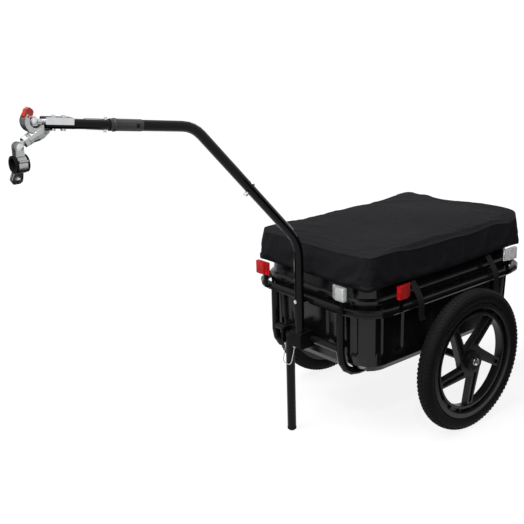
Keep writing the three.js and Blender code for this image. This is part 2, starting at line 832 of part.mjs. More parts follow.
function strap() {
  const halfSkin = strapThickness / 2;
  const hem = coverHalfWidth + coverFlare - coverFabric / 2;
  const outer = railHalfWidth + frameTubeRadius + seatGap + halfSkin;
  const inner = railHalfWidth - frameTubeRadius - strapThickness - halfSkin;
  const corners = [
    at(hem, 0, coverHemHeight - seatGap - strapThickness / 2),
    at(outer, 0, coverHemHeight - strapShoulder),
    at(outer, 0, railHeight - strapDrop),
    at(inner, 0, railHeight - strapDrop),
    at(inner, 0, railHeight + strapTailRise),
  ];
  const half = strapWidth / 2;
  const webbing = outline([[-half, -halfSkin], [half, -halfSkin], [half, halfSkin], [-half, halfSkin]]);
  return sweep(webbing, new BentPath(corners, strapBendRadius, strapBendSteps));
}

function addTub() {
  addPiece(model, 'tub', tub(), finish.tubPlastic);
  addPiece(model, 'cover', cover(), finish.coverFabric);
  for (const side of [1, -1]) {
    const hand = side > 0 ? 'left' : 'right';
    for (const [place, y] of [['front', frontStrapY], ['rear', rearStrapY]]) {
      const piece = addPiece(model, `strap_${place}_${hand}`, strap(), finish.webbing);
      piece.position.y = y;
      piece.scale.x = side;
    }
  }
}

// Drawbar: a lower tube clamped to the frame and an upper tube plugged into it
const drawbarWall = 2;
const drawbarLowBendRadius = 110;
const drawbarHighBendRadius = 90;
const drawbarJointShare = 0.56;
const drawbarEnd = 142.3;
const spigotWall = 1.8;
const spigotLength = 62;
const spigotSeat = 14;
const frontSpigotRadius = 11;
const frontSpigotEnd = 172;
const jointBoltDrop = 31;
const headRadius = 5.5;
const headHeight = 3.6;
const wingReach = 7;
const wingRadius = 2.2;
const wingNutHeight = 9;
const lowBend = at(0, drawbarY, drawbarLowBendHeight);
const highBend = at(0, drawbarY - drawbarForward, drawbarHighBendHeight);
const slope = highBend.clone().sub(lowBend).normalize();
const slopeNormal = slope.clone().applyAxisAngle(X, -Math.PI / 2);
const jointPlace = lowBend.clone().lerp(highBend, drawbarJointShare);
const jointBoltPlace = jointPlace.clone().addScaledVector(slope, -jointBoltDrop);
const armForward = at(0, -Math.cos(armTilt), Math.sin(armTilt));

// A bolt with a round head and a nut, as one turned piece along a direction
function bolt(nutFace, headFace, direction, nutHeight = headHeight, reach = headRadius) {
  return turned([
    [0, nutFace - nutHeight],
    [headRadius, nutFace - nutHeight],
    [headRadius, nutFace],
    [boltRadius, nutFace],
    [boltRadius, headFace],
    [reach, headFace],
    [reach, headFace + headHeight / 2],
    [boltRadius, headFace + headHeight],
    [0, headFace + headHeight],
  ], boltSides, direction);
}

function drawbarLower() {
  const foot = at(0, drawbarY, blockBottom + blockFloor + seatGap);
  const end = jointPlace.clone().addScaledVector(slope, -seatGap / 2);
  const tube = sweep(
    pipeShape(drawbarRadius, drawbarWall),
    new BentPath([foot, lowBend, end], drawbarLowBendRadius),
  );
  const reach = slopeNormal.clone().multiplyScalar(drawbarRadius + cutOverrun);
  return cut(
    solidFrom(tube),
    bar(
      at(0, drawbarY - drawbarRadius - cutOverrun, railHeight),
      at(0, drawbarRearY + cutOverrun, railHeight),
      boltRadius + seatGap,
      boltSides,
    ),
    bar(jointBoltPlace.clone().sub(reach), jointBoltPlace.clone().add(reach), boltRadius + seatGap, boltSides),
  );
}

function drawbarUpper() {
  const along = (from, distance, direction) => from.clone().addScaledVector(direction, distance);
  const start = along(jointPlace, seatGap / 2, slope);
  const end = along(highBend, drawbarEnd, armForward);
  const tube = sweep(
    pipeShape(drawbarRadius, drawbarWall),
    new BentPath([start, highBend, end], drawbarHighBendRadius),
  );
  const innerRadius = drawbarRadius - drawbarWall;
  const spigotRadius = innerRadius * Math.cos(Math.PI / boreSides) - seatGap;
  const plug = bar(start, along(jointPlace, spigotSeat, slope), innerRadius + seatGap, boreSides);
  const spigotStart = along(jointPlace, -spigotLength, slope);
  const spigot = bar(spigotStart, along(jointPlace, spigotSeat, slope), spigotRadius, roundSides);
  const frontSpigot = bar(
    along(highBend, drawbarEnd - spigotSeat, armForward),
    along(highBend, frontSpigotEnd, armForward),
    frontSpigotRadius,
    roundSides,
  );
  const reach = slopeNormal.clone().multiplyScalar(drawbarRadius + cutOverrun);
  const sleeveBoltAt = along(highBend, sleeveBoltPlace, armForward);
  const across = at(drawbarRadius + cutOverrun, 0, 0);
  return cut(
    unite(tube, plug, spigot, frontSpigot),
    bar(
      along(spigotStart, -cutOverrun, slope),
      along(jointPlace, spigotSeat + cutOverrun, slope),
      spigotRadius - spigotWall,
      boreSides,
    ),
    bar(
      along(highBend, drawbarEnd - spigotSeat - cutOverrun, armForward),
      along(highBend, frontSpigotEnd + cutOverrun, armForward),
      frontSpigotRadius - spigotWall,
      boreSides,
    ),
    bar(jointBoltPlace.clone().sub(reach), jointBoltPlace.clone().add(reach), boltRadius + seatGap, boltSides),
    bar(sleeveBoltAt.clone().sub(across), sleeveBoltAt.clone().add(across), boltRadius + seatGap, boltSides),
  );
}

function jointBolt() {
  const face = drawbarRadius + seatGap;
  const piece = bolt(-face, face, slopeNormal, wingNutHeight).translate(...jointBoltPlace.toArray());
  const wing = jointBoltPlace.clone().addScaledVector(slopeNormal, -face - wingNutHeight + wingRadius);
  const wings = bar(wing.clone().setX(-wingReach), wing.clone().setX(wingReach), wingRadius, boltSides);
  return unite(piece, wings);
}

function railBolt() {
  const face = drawbarY - drawbarRadius - seatGap;
  return turned([
    [0, face - headHeight],
    [headRadius, face - headHeight / 2],
    [headRadius, face],
    [boltRadius, face],
    [boltRadius, railFrontY],
    [0, railFrontY],
  ], boltSides, Y).translate(0, 0, railHeight);
}

// Bracket block on the front cross tube, with a socket for the drawbar and a slot for the leg
const blockLeft = 19;
const blockRight = -61;
const blockHalfHeight = 23;
const blockTop = crossTubeHeight + blockHalfHeight;
const blockBottom = crossTubeHeight - blockHalfHeight;
const blockFront = 387;
const blockRear = 333;
const blockRound = 9;
const blockFloor = 4;
const blockBoltEnd = -18;
const legX = -40;
const legRadius = 12.5;
const legPivotHeight = crossTubeHeight;
const legSlotHalf = 13;
const legFaceY = drawbarY + drawbarRadius;

function drawbarBracket() {
  const middle = (blockFront - blockRear) / 2;
  const side = new THREE.Shape();
  side.moveTo(-blockFront + blockRound, blockBottom);
  side.lineTo(-blockRear, blockBottom);
  side.lineTo(-blockRear, blockTop - blockRound);
  side.lineTo(-blockRear - blockRound, blockTop);
  side.lineTo(-blockFront + blockRound, blockTop);
  side.absarc(-blockFront + blockRound, blockTop - blockRound, blockRound, Math.PI / 2, Math.PI);
  side.absarc(-blockFront + blockRound, blockBottom + blockRound, blockRound, Math.PI, 1.5 * Math.PI);
  const body = sideProfile(side, (blockLeft - blockRight) / 2);
  body.translate((blockLeft + blockRight) / 2, 0, 0);
  return cut(
    solidFrom(body),
    bar(
      at(blockRight - cutOverrun, railFrontY, crossTubeHeight),
      at(blockLeft + cutOverrun, railFrontY, crossTubeHeight),
      crossTubeRadius + seatGap,
      seatSides,
    ),
    bar(
      at(0, drawbarY, blockBottom + blockFloor),
      at(0, drawbarY, blockTop + cutOverrun),
      drawbarRadius + seatGap,
      seatSides,
    ),
    block(
      at(legX - legSlotHalf, drawbarY - middle, blockBottom - cutOverrun),
      at(legX + legSlotHalf, legFaceY, blockTop + cutOverrun),
    ),
    bar(
      at(blockRight - cutOverrun, drawbarY, legPivotHeight),
      at(blockBoltEnd + seatGap, drawbarY, legPivotHeight),
      boltRadius + seatGap,
      boltSides,
    ),
  );
}

// Park leg on its pivot bolt, with a rubber foot and a locking pin
const legBottom = 4;
const legWall = 1.8;
const legBoreDrop = 45;
const legEarRadius = 12.3;
const footRadius = 13;
const footRise = 10;
const footStem = 30;
const footRound = 4;
const legPinDrop = 29;
const legPinHeight = legPivotHeight - legPinDrop;

function legBolt() {
  const face = blockRight - seatGap;
  return turned([
    [0, face - headHeight],
    [headRadius, face - headHeight / 2],
    [headRadius, face],
    [boltRadius, face],
    [boltRadius, blockBoltEnd],
    [0, blockBoltEnd],
  ], boltSides, X).translate(0, drawbarY, legPivotHeight);
}

function legTube() {
  const pivot = at(legX, drawbarY, legPivotHeight);
  const foot = pivot.clone().setZ(legBottom + footRise - footRound);
  const tube = bar(foot, pivot, legRadius, roundSides);
  const top = solidFrom(bar(
    pivot.clone().setZ(legPivotHeight - legRadius),
    pivot.clone().setZ(legPivotHeight + legRadius),
    legRadius,
    roundSides,
  ));
  const ear = solidFrom(bar(
    pivot.clone().setX(legX - legRadius),
    pivot.clone().setX(legX + legRadius),
    legEarRadius,
    roundSides,
  ));
  const across = (height) => bar(
    at(legX - legRadius - cutOverrun, drawbarY, height),
    at(legX + legRadius + cutOverrun, drawbarY, height),
    boltRadius + seatGap,
    boltSides,
  );
  return cut(
    solidFrom(tube).add(top.intersect(ear)),
    bar(foot.clone().setZ(foot.z - cutOverrun), foot.clone().setZ(legPivotHeight - legBoreDrop), legRadius - legWall, tubeSides),
    across(legPivotHeight),
    across(legPinHeight),
  );
}

function legFoot() {
  const seat = legBottom + footRise - footRound - seatGap;
  const stem = (legRadius - legWall - seatGap) * Math.cos(Math.PI / tubeSides);
  return turned([
    [0, 0],
    [footRadius - footRound, 0],
    [footRadius, footRound],
    [footRadius, seat],
    [stem, seat],
    [stem, seat + footStem],
    [0, seat + footStem],
  ], roundSides, Z).translate(legX, drawbarY, 0);
}

// Locking pins: a pin along Z with a wire bail that reaches along -Y and rests beside a tube
const pinRadius = 2.9;
const pinTipRadius = 2;
const pinHeadRadius = 4;
const pinHeadHeight = 2;
const pinOverhang = 3;
const eyeRadius = 4;
const eyeThickness = 3;
const wireRadius = 1.1;
const wireSides = 5;
const wireBendRadius = 12;
const wireBendSteps = 3;
const bailRest = 0.4;

function lockPin(tubeRadius) {
  const body = tubeRadius + pinOverhang;
  const tip = body + eyeThickness + 2 * seatGap;
  return turned([
    [0, -tip - pinHeadHeight],
    [pinHeadRadius, -tip - pinHeadHeight],
    [pinHeadRadius, -tip],
    [pinTipRadius, -tip],
    [pinTipRadius, -body],
    [pinRadius, -body],
    [pinRadius, body],
    [pinTipRadius, body],
    [pinTipRadius, tip],
    [pinHeadRadius, tip],
    [pinHeadRadius, tip + pinHeadHeight],
    [0, tip + pinHeadHeight],
  ], boltSides, Z);
}

function wireBail(tubeRadius, reach) {
  const level = tubeRadius + pinOverhang + seatGap + eyeThickness / 2;
  const aside = -(tubeRadius + wireRadius + bailRest);
  const start = (aside / reach) * eyeRadius;
  const corners = [
    at(start, -eyeRadius + wireRadius, level),
    at(aside, -reach, level),
    at(aside, -reach, -level),
    at(start, -eyeRadius + wireRadius, -level),
  ];
  const wire = sweep(circleShape(wireRadius, wireSides), new BentPath(corners, wireBendRadius, wireBendSteps));
  const eyes = [level, -level].map((height) => bar(
    at(0, 0, height - eyeThickness / 2),
    at(0, 0, height + eyeThickness / 2),
    eyeRadius,
    tubeSides,
  ));
  const far = level + eyeThickness;
  return cut(unite(wire, ...eyes), bar(at(0, 0, -far), at(0, 0, far), pinTipRadius + seatGap, tubeSides));
}

const legBailReach = 51;

function addDrawbar() {
  addPiece(model, 'drawbar_bracket', drawbarBracket(), finish.blockPlastic);
  addPiece(model, 'drawbar_lower', drawbarLower(), finish.blackPaint);
  addPiece(model, 'drawbar_upper', drawbarUpper(), finish.blackPaint);
  addPiece(model, 'drawbar_joint_bolt', jointBolt(), finish.zinc);
  addPiece(model, 'drawbar_rail_bolt', railBolt(), finish.zinc);
}

function addLeg() {
  addPiece(model, 'leg_bolt', legBolt(), finish.zinc);
  addPiece(model, 'leg_tube', legTube(), finish.blackPaint);
  addPiece(model, 'leg_foot', legFoot(), finish.bushRubber);
  const pin = new THREE.Group();
  pin.position.set(legX, drawbarY, legPinHeight);
  pin.quaternion.setFromRotationMatrix(new THREE.Matrix4().makeBasis(Y, Z, X));
  addPiece(pin, 'leg_pin', lockPin(legRadius), finish.zinc);
  addPiece(pin, 'leg_pin_bail', wireBail(legRadius, legBailReach), finish.zinc);
  model.add(pin);
}

// Hitch arm: a plug-in tube in the drawbar's front sleeve, with the ball on its end.
// In the arm's group, -Y runs forward along the arm from the drawbar's upper bend.
const sleeveRadius = 13.6;
const sleeveStart = 142.6;
const sleeveEnd = 224;
const sleeveBoltPlace = 157.6;
const sleeveCollarPlace = 208;
const sleeveCollarLength = 8;
const sleeveCollarRadius = 15;
const sleeveCollarRound = 1.5;
const sleeveHeadRadius = 4.5;
const sleeveHeadSeat = 11.6;
const armRadius = 11;
const armWall = 1.8;
const armStart = 175;
const armEnd = 376;
const armPinPlace = 233;
const armBailReach = 52;
const channelStart = 315;
const channelHalf = 14;
const channelTop = 13.8;
const channelBottom = 1;
const channelEdge = 2;
const channelPlate = 3;
const channelBoltPlaces = [332.6, 355.9];
const ballRadius = 10;
const ballPlace = 400.6;
const ballLift = 4.5;
const neckRadius = 4.6;
const ballSteps = 8;

function sleeve() {
  const inner = armRadius + seatGap;
  const section = [
    [inner, sleeveStart],
    [sleeveRadius, sleeveStart],
    [sleeveRadius, sleeveCollarPlace],
    [sleeveCollarRadius, sleeveCollarPlace + sleeveCollarRound],
    [sleeveCollarRadius, sleeveCollarPlace + sleeveCollarLength - sleeveCollarRound],
    [sleeveRadius, sleeveCollarPlace + sleeveCollarLength],
    [sleeveRadius, sleeveEnd],
    [inner, sleeveEnd],
    [inner, sleeveStart],
  ];
  const pipe = turned(section, roundSides, Y.clone().negate());
  return cut(
    solidFrom(pipe),
    bar(
      at(-sleeveRadius - cutOverrun, -sleeveBoltPlace, 0),
      at(sleeveRadius + cutOverrun, -sleeveBoltPlace, 0),
      boltRadius + seatGap,
      boltSides,
    ),
    bar(
      at(sleeveHeadSeat, -sleeveBoltPlace, 0),
      at(sleeveRadius + cutOverrun, -sleeveBoltPlace, 0),
      sleeveHeadRadius + seatGap,
      tubeSides,
    ),
  );
}

function sleeveBolt() {
  const seat = sleeveHeadSeat + seatGap;
  return turned([
    [0, -sleeveHeadSeat],
    [boltRadius, -sleeveHeadSeat],
    [boltRadius, seat],
    [sleeveHeadRadius, seat],
    [sleeveHeadRadius, sleeveRadius],
    [0, sleeveRadius],
  ], boltSides, X).translate(0, -sleeveBoltPlace, 0);
}

function hitchArm() {
  const across = (place) => bar(
    at(0, -place, -armRadius - cutOverrun),
    at(0, -place, armRadius + cutOverrun),
    boltRadius + seatGap,
    boltSides,
  );
  return cut(
    solidFrom(bar(at(0, -armStart, 0), at(0, -armEnd, 0), armRadius, roundSides)),
    bar(at(0, -armStart + cutOverrun, 0), at(0, -armEnd - cutOverrun, 0), armRadius - armWall, tubeSides),
    across(armPinPlace),
    ...channelBoltPlaces.map(across),
  );
}

function hitchChannel() {
  const saddle = armRadius + seatGap;
  const open = Math.asin(channelBottom / saddle);
  const section = new THREE.Shape();
  section.moveTo(-channelHalf, -channelBottom);
  section.lineTo(-saddle * Math.cos(open), -channelBottom);
  section.absarc(0, 0, saddle, Math.PI + open, -open, true);
  section.lineTo(channelHalf, -channelBottom);
  section.lineTo(channelHalf, channelTop - channelEdge);
  section.lineTo(channelHalf - channelEdge, channelTop);
  section.lineTo(-channelHalf + channelEdge, channelTop);
  section.lineTo(-channelHalf, channelTop - channelEdge);
  const depth = armEnd + seatGap + channelPlate / 2 - channelStart;
  const body = new THREE.ExtrudeGeometry(section, { depth, bevelEnabled: false, curveSegments: boltSides });
  facingY(body).translate(0, -channelStart, 0);
  const plateStart = armEnd + seatGap;
  const plate = block(
    at(-channelHalf, -plateStart - channelPlate, -channelBottom),
    at(channelHalf, -plateStart, channelTop - channelEdge / 2),
  );
  const across = (place) => bar(at(0, -place, 0), at(0, -place, channelTop + cutOverrun), boltRadius + seatGap, boltSides);
  return cut(unite(body, plate), ...channelBoltPlaces.map(across));
}

function hitchBall() {
  const neckStart = armEnd + 2 * seatGap + channelPlate;
  const neckTurn = Math.asin(neckRadius / ballRadius);
  const section = [[0, -ballRadius]];
  for (let step = 1; step <= ballSteps; step += 1) {
    const turn = ((Math.PI - neckTurn) * step) / ballSteps;
    section.push([ballRadius * Math.sin(turn), -ballRadius * Math.cos(turn)]);
  }
  section.push([neckRadius, ballPlace - neckStart], [0, ballPlace - neckStart]);
  return turned(section, roundSides, Y).translate(0, -ballPlace, ballLift);
}

function addArm() {
  const arm = new THREE.Group();
  arm.position.copy(highBend);
  arm.rotation.x = -armTilt;
  addPiece(arm, 'drawbar_sleeve', sleeve(), finish.blockPlastic);
  addPiece(arm, 'sleeve_bolt', sleeveBolt(), finish.blackPaint);
  addPiece(arm, 'hitch_arm', hitchArm(), finish.blackPaint);
  addPiece(arm, 'arm_pin', lockPin(armRadius), finish.zinc).position.y = -armPinPlace;
  addPiece(arm, 'arm_pin_bail', wireBail(armRadius, armBailReach), finish.zinc).position.y = -armPinPlace;
  addPiece(arm, 'hitch_channel', hitchChannel(), finish.zinc);
  channelBoltPlaces.forEach((place, index) => {
    const piece = bolt(-armRadius - seatGap, channelTop + seatGap, Z);
    addPiece(arm, `channel_bolt_${index + 1}`, piece, finish.zinc).position.y = -place;
  });
  addPiece(arm, 'hitch_ball', hitchBall(), finish.zinc);
  model.add(arm);
}

// Coupler: a cast hook round the ball, with a red latch, a swivel and a hanging post clamp.
// Its group stands on the middle of the ball.
const degrees = THREE.MathUtils.degToRad;
const linerWall = 3;
const linerTurn = degrees(50);
const cavityRadius = ballRadius + linerWall + 2 * seatGap;
const hookRadius = 24;
const hookHalf = 12;
const hookFrom = degrees(166);
const hookTo = degrees(345);
const lugInner = 8.2;
const lugFrom = degrees(134);
const lugTo = degrees(172);
const lugBore = 14.5;
const lugOuter = 23.5;
const latchPivot = [-15.2, 11.4];
const latchHalf = 6.8;
const latchPinRadius = 2;
const latchOutline = [
  [-21.5, 13], [-20, 8.6], [-17, 6.9], [-13.5, 8], [-9.5, 10.5], [-3, 11.5], [0, 19], [-2, 24], [-8, 29], [-15, 26],
];
const shankStart = [30.6, -14.6];
const universalPlace = [-39.4, -47.6];
const shankProfile = [[8, -3], [13, 5], [16, 20], [15.5, 32], [12, 44], [12, 52]];
const neckShelf = -8.8;
const tubeShelf = -21;
const notchRadius = 21;
const notchReach = 60;
const stubRadius = 5;
const stubStart = 38;
const swivelStart = 52.3;
const swivelNutEnd = 62;
const swivelNutRadius = 12;
const eyeHalf = 5.6;
const eyePlateRadius = 10.5;
const clampDrop = 35;
const shank = at(0, universalPlace[0] - shankStart[0], universalPlace[1] - shankStart[1]).normalize();
const onShank = (distance) => at(0, ...shankStart).addScaledVector(shank, distance);
const universal = at(0, ...universalPlace);

function socketLiner() {
  const arc = (radius, from, to) => {
    const points = [];
    for (let step = 0; step <= ballSteps / 2; step += 1) {
      const turn = from + ((to - from) * step * 2) / ballSteps;
      points.push([radius * Math.sin(turn), -radius * Math.cos(turn)]);
    }
    return points;
  };
  const inner = ballRadius + seatGap;
  return turned([...arc(inner + linerWall, 0, linerTurn), ...arc(inner, linerTurn, 0)], roundSides, Z);
}

function couplerBody() {
  const segments = roundSides;
  const hook = sideProfile(ringSector(cavityRadius - seatGap, hookRadius, hookFrom, hookTo), hookHalf, segments);
  const lugs = [1, -1].map((side) => {
    const shape = ringSector(lugBore, lugOuter, lugFrom, lugTo);
    const half = (hookHalf - lugInner) / 2;
    return sideProfile(shape, half, boltSides).translate((side * (hookHalf + lugInner)) / 2, 0, 0);
  });
  const first = shankProfile[0];
  const last = shankProfile[shankProfile.length - 1];
  const body = turned([[0, first[1]], ...shankProfile, [0, last[1]]], roundSides, shank)
    .translate(0, ...shankStart);
  const shelf = (height) => solidFrom(block(at(-notchReach, 0, height), at(notchReach, notchReach, notchReach)));
  const core = solidFrom(bar(at(0, 0, -notchReach), at(0, 0, notchReach), notchRadius, fineSides));
  const joined = unite(hook, body, ...lugs);
  const latchY = latchPivot[0];
  const latchZ = latchPivot[1];
  return cut(
    joined.subtract(shelf(neckShelf)).subtract(shelf(tubeShelf).subtract(core)),
    bar(at(-notchReach, 0, 0), at(notchReach, 0, 0), cavityRadius, fineSides),
    bar(at(-hookHalf - cutOverrun, latchY, latchZ), at(hookHalf + cutOverrun, latchY, latchZ), latchPinRadius + seatGap, tubeSides),
    bar(onShank(stubStart - seatGap), onShank(last[1] + cutOverrun), stubRadius + seatGap, tubeSides),
  );
}

function couplerLatch() {
  const tongue = sideProfile(outline(latchOutline).closePath(), latchHalf);
  const ends = hookHalf - seatGap;
  const pin = bar(at(-ends, ...latchPivot), at(ends, ...latchPivot), latchPinRadius, tubeSides);
  return unite(tongue, pin);
}

function couplerSwivel() {
  return cut(
    unite(
      bar(onShank(stubStart), onShank(swivelNutEnd), stubRadius, tubeSides),
      bar(onShank(swivelStart), onShank(swivelNutEnd), swivelNutRadius, swivelNutSides),
      bar(onShank(swivelNutEnd - cutOverrun), universal, eyeHalf, roundSides),
      bar(universal.clone().setX(-eyeHalf), universal.clone().setX(eyeHalf), eyePlateRadius, roundSides),
    ),
    bar(
      universal.clone().setX(-eyeHalf - cutOverrun),
      universal.clone().setX(eyeHalf + cutOverrun),
      boltRadius + seatGap,
      boltSides,
    ),
  );
}

// Post clamp: a hinged steel band with a rubber bush, on a yoke under the swivel
const swivelNutSides = 6;
const yokeInner = 5.9;
const yokeOuter = 9.5;
const yokeRadius = 9;
const yokeHeadRadius = 8.5;
const yokeFoot = 15.6;
const bushBore = 13.6;
const bushRadius = 16;
const bushFlangeRadius = 18.5;
const bushFlangeStart = 10;
const bushHalf = 15;
const bushSlit = 1;
const bandRadius = 19.3;
const bandHalf = 9.5;
const bandSplit = degrees(240);
const hingeTurn = degrees(20);
const hingeRadius = 21;
const knuckleRadius = 3;
const knuckleHalf = 4;
const hingePinRadius = 1.3;
const hingeEnd = degrees(1);
const earStart = 17.5;
const earBolt = 37;
const earHalf = 12;
const earEndReach = 13;
const earChamfer = 5;
const earThickness = 4;
const earGapHalf = 1.5;
const clampSlotReach = 1.5;
const clampBoltRadius = 2.5;
const bandTurned = (geometry, turn) => geometry.rotateY(-turn);

function bandSlice(from, to) {
  const shape = ringSector(bushRadius + seatGap, bandRadius, from, to);
  const geometry = new THREE.ExtrudeGeometry(shape, { depth: 2 * bandHalf, bevelEnabled: false, curveSegments: tubeSides });
  return facingY(geometry.translate(0, 0, -bandHalf));
}

function ear(side) {
  const near = side * earGapHalf;
  const far = side * (earGapHalf + earThickness);
  const end = earBolt + earEndReach;
  const shape = outline([
    [earStart, -bandHalf],
    [earBolt, -earHalf],
    [end - earChamfer, -earHalf],
    [end, -earHalf + earChamfer],
    [end, earHalf - earChamfer],
    [end - earChamfer, earHalf],
    [earBolt, earHalf],
    [earStart, bandHalf],
  ]);
  const plate = new THREE.ExtrudeGeometry(shape, { depth: earThickness, bevelEnabled: false });
  return bandTurned(plate.translate(0, 0, Math.min(near, far)), bandSplit);
}

// A cross hole through the ears, at a distance from the bush's axis
function earHole(distance) {
  const reach = earGapHalf + earThickness + cutOverrun;
  return bandTurned(bar(at(distance, 0, -reach), at(distance, 0, reach), clampBoltRadius + seatGap, boltSides), bandSplit);
}

function knuckle(low, high, radius = knuckleRadius) {
  return bandTurned(bar(at(hingeRadius, low, 0), at(hingeRadius, high, 0), radius, tubeSides), hingeTurn);
}

function hingePin(radius, half) {
  return bandTurned(bar(at(hingeRadius, -half, 0), at(hingeRadius, half, 0), radius, boltSides), hingeTurn);
}

function clampYoke() {
  const cheeks = [1, -1].flatMap((side) => {
    const low = Math.min(side * yokeInner, side * yokeOuter);
    const high = Math.max(side * yokeInner, side * yokeOuter);
    return [
      block(at(low, -yokeRadius, yokeFoot), at(high, yokeRadius, clampDrop)),
      bar(at(low, 0, clampDrop), at(high, 0, clampDrop), yokeRadius, roundSides),
    ];
  });
  const gap = earGapHalf / bandRadius;
  const clear = knuckleHalf + seatGap;
  const band = cut(
    solidFrom(bandSlice(hingeTurn + hingeEnd, bandSplit - gap)),
    knuckle(-clear, clear, knuckleRadius + fitGap),
  );
  return cut(
    band.add(unite(
      ear(-1),
      ...cheeks,
      knuckle(clear, bandHalf),
      knuckle(-bandHalf, -clear),
      hingePin(hingePinRadius, bandHalf),
    )),
    bar(at(-yokeOuter - cutOverrun, 0, clampDrop), at(yokeOuter + cutOverrun, 0, clampDrop), boltRadius + seatGap, boltSides),
    earHole(earBolt),
    earHole(earBolt + clampSlotReach / 2),
    earHole(earBolt + clampSlotReach),
  );
}

function yokeBolt() {
  const face = yokeOuter + seatGap;
  return bolt(-face, face, X, headHeight, yokeHeadRadius);
}

function clampHalf() {
  const gap = earGapHalf / bandRadius;
  const full = 2 * Math.PI;
  const band = cut(
    solidFrom(bandSlice(bandSplit + gap, full + hingeTurn - hingeEnd)),
    knuckle(knuckleHalf, bandHalf + cutOverrun, knuckleRadius + fitGap),
    knuckle(-bandHalf - cutOverrun, -knuckleHalf, knuckleRadius + fitGap),
  );
  return cut(
    band.add(unite(ear(1), knuckle(-knuckleHalf, knuckleHalf))),
    earHole(earBolt),
    hingePin(hingePinRadius + seatGap, bandHalf + cutOverrun),
  );
}

function clampBolt() {
  const face = earGapHalf + earThickness + seatGap;
  const piece = turned([
    [0, -face],
    [clampBoltRadius, -face],
    [clampBoltRadius, face],
    [headRadius, face],
    [headRadius, face + headHeight / 2],
    [clampBoltRadius, face + headHeight],
    [0, face + headHeight],
  ], boltSides, Z).translate(earBolt, 0, 0);
  return bandTurned(piece, bandSplit);
}

function clampBush() {
  const section = [
    [bushBore, -bushHalf],
    [bushFlangeRadius, -bushHalf],
    [bushFlangeRadius, -bushFlangeStart],
    [bushRadius, -bushFlangeStart],
    [bushRadius, bushFlangeStart],
    [bushFlangeRadius, bushFlangeStart],
    [bushFlangeRadius, bushHalf],
    [bushBore, bushHalf],
    [bushBore, -bushHalf],
  ];
  const slit = block(
    at(bushBore / 2, -bushHalf - cutOverrun, -bushSlit),
    at(bushFlangeRadius + cutOverrun, bushHalf + cutOverrun, bushSlit),
  );
  return cut(solidFrom(turned(section, fineSides, Y)), bandTurned(slit, bandSplit));
}

function addCoupler() {
  const hitch = new THREE.Group();
  const ball = at(0, -ballPlace, ballLift).applyAxisAngle(X, -armTilt).add(highBend);
  hitch.position.copy(ball);
  addPiece(hitch, 'socket_liner', socketLiner(), finish.zinc);
  addPiece(hitch, 'coupler_body', couplerBody(), finish.zinc);
  addPiece(hitch, 'coupler_latch', couplerLatch(), finish.redPlastic);
  addPiece(hitch, 'coupler_swivel', couplerSwivel(), finish.zinc);
  const clamp = new THREE.Group();
  clamp.position.copy(universal).setZ(universal.z - clampDrop);
  addPiece(clamp, 'clamp_yoke', clampYoke(), finish.zinc);
  addPiece(clamp, 'yoke_bolt', yokeBolt(), finish.zinc).position.z = clampDrop;
  addPiece(clamp, 'clamp_bush', clampBush(), finish.bushRubber);
  addPiece(clamp, 'clamp_half', clampHalf(), finish.zinc);
  addPiece(clamp, 'clamp_bolt', clampBolt(), finish.zinc);
  hitch.add(clamp);
  model.add(hitch);
}

addFrame();
addWheel(1);
addWheel(-1);
addTub();
addDrawbar();
addLeg();
addArm();
addCoupler();

// The origin of the finished part is the middle of its bounding box, on the ground
const bounds = new THREE.Box3().setFromObject(model);
const middle = bounds.getCenter(new THREE.Vector3());
model.position.set(-middle.x, -middle.y, -bounds.min.z);

export default trailer;
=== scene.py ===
# %% [markdown]
# # A bike cargo trailer
# This lesson dresses a finished model of a bicycle trailer: a tube frame on two spoked
# wheels, a lift-out tub under a fabric cover, and a drawbar that ends in a ball hitch.
# The shapes that carry load are loaded as they are. Fabric, webbing and tyre tread are
# made here, because they are soft or finely patterned, and every surface gets a finish.

# %% Load the model and measure it
import bpy
import bmesh
import json
import math
from mathutils import Matrix, Vector


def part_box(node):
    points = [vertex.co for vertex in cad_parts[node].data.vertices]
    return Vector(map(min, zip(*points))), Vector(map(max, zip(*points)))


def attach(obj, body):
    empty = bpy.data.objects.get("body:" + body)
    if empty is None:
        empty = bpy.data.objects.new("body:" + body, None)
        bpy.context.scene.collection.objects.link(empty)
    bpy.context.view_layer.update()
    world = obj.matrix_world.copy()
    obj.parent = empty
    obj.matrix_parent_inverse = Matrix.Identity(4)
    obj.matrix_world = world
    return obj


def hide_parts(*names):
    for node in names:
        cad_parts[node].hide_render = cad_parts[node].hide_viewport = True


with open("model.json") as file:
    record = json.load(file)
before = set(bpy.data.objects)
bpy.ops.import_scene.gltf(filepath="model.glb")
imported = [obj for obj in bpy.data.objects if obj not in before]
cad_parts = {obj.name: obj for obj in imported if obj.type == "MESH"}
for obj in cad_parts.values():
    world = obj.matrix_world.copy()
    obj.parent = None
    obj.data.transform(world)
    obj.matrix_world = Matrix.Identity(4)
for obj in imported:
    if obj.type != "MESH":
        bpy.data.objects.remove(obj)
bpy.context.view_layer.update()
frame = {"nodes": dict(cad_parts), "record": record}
scene = bpy.context.scene

# %% [markdown]
# ## Camera
# The trailer stands on the ground with its left wheel towards us. The camera looks down
# at it by about nineteen degrees, from in front and to its left. The lens is moderately
# long, so the far wheel is only a little smaller than the near one. The picture's middle
# isn't where the camera points, and the lens shift puts it right without turning the view.

# %% Place the camera
CAMERA_PLACE = Vector((1.86996, -1.62429, 1.29585))
CAMERA_AROUND = math.radians(47.2846)
CAMERA_DOWN = math.radians(18.6199)
CAMERA_ROLL = math.radians(-0.5557)
SENSOR_WIDTH = 36
LENS = 68.08
LENS_SHIFT = (-0.1106, 0.0331)


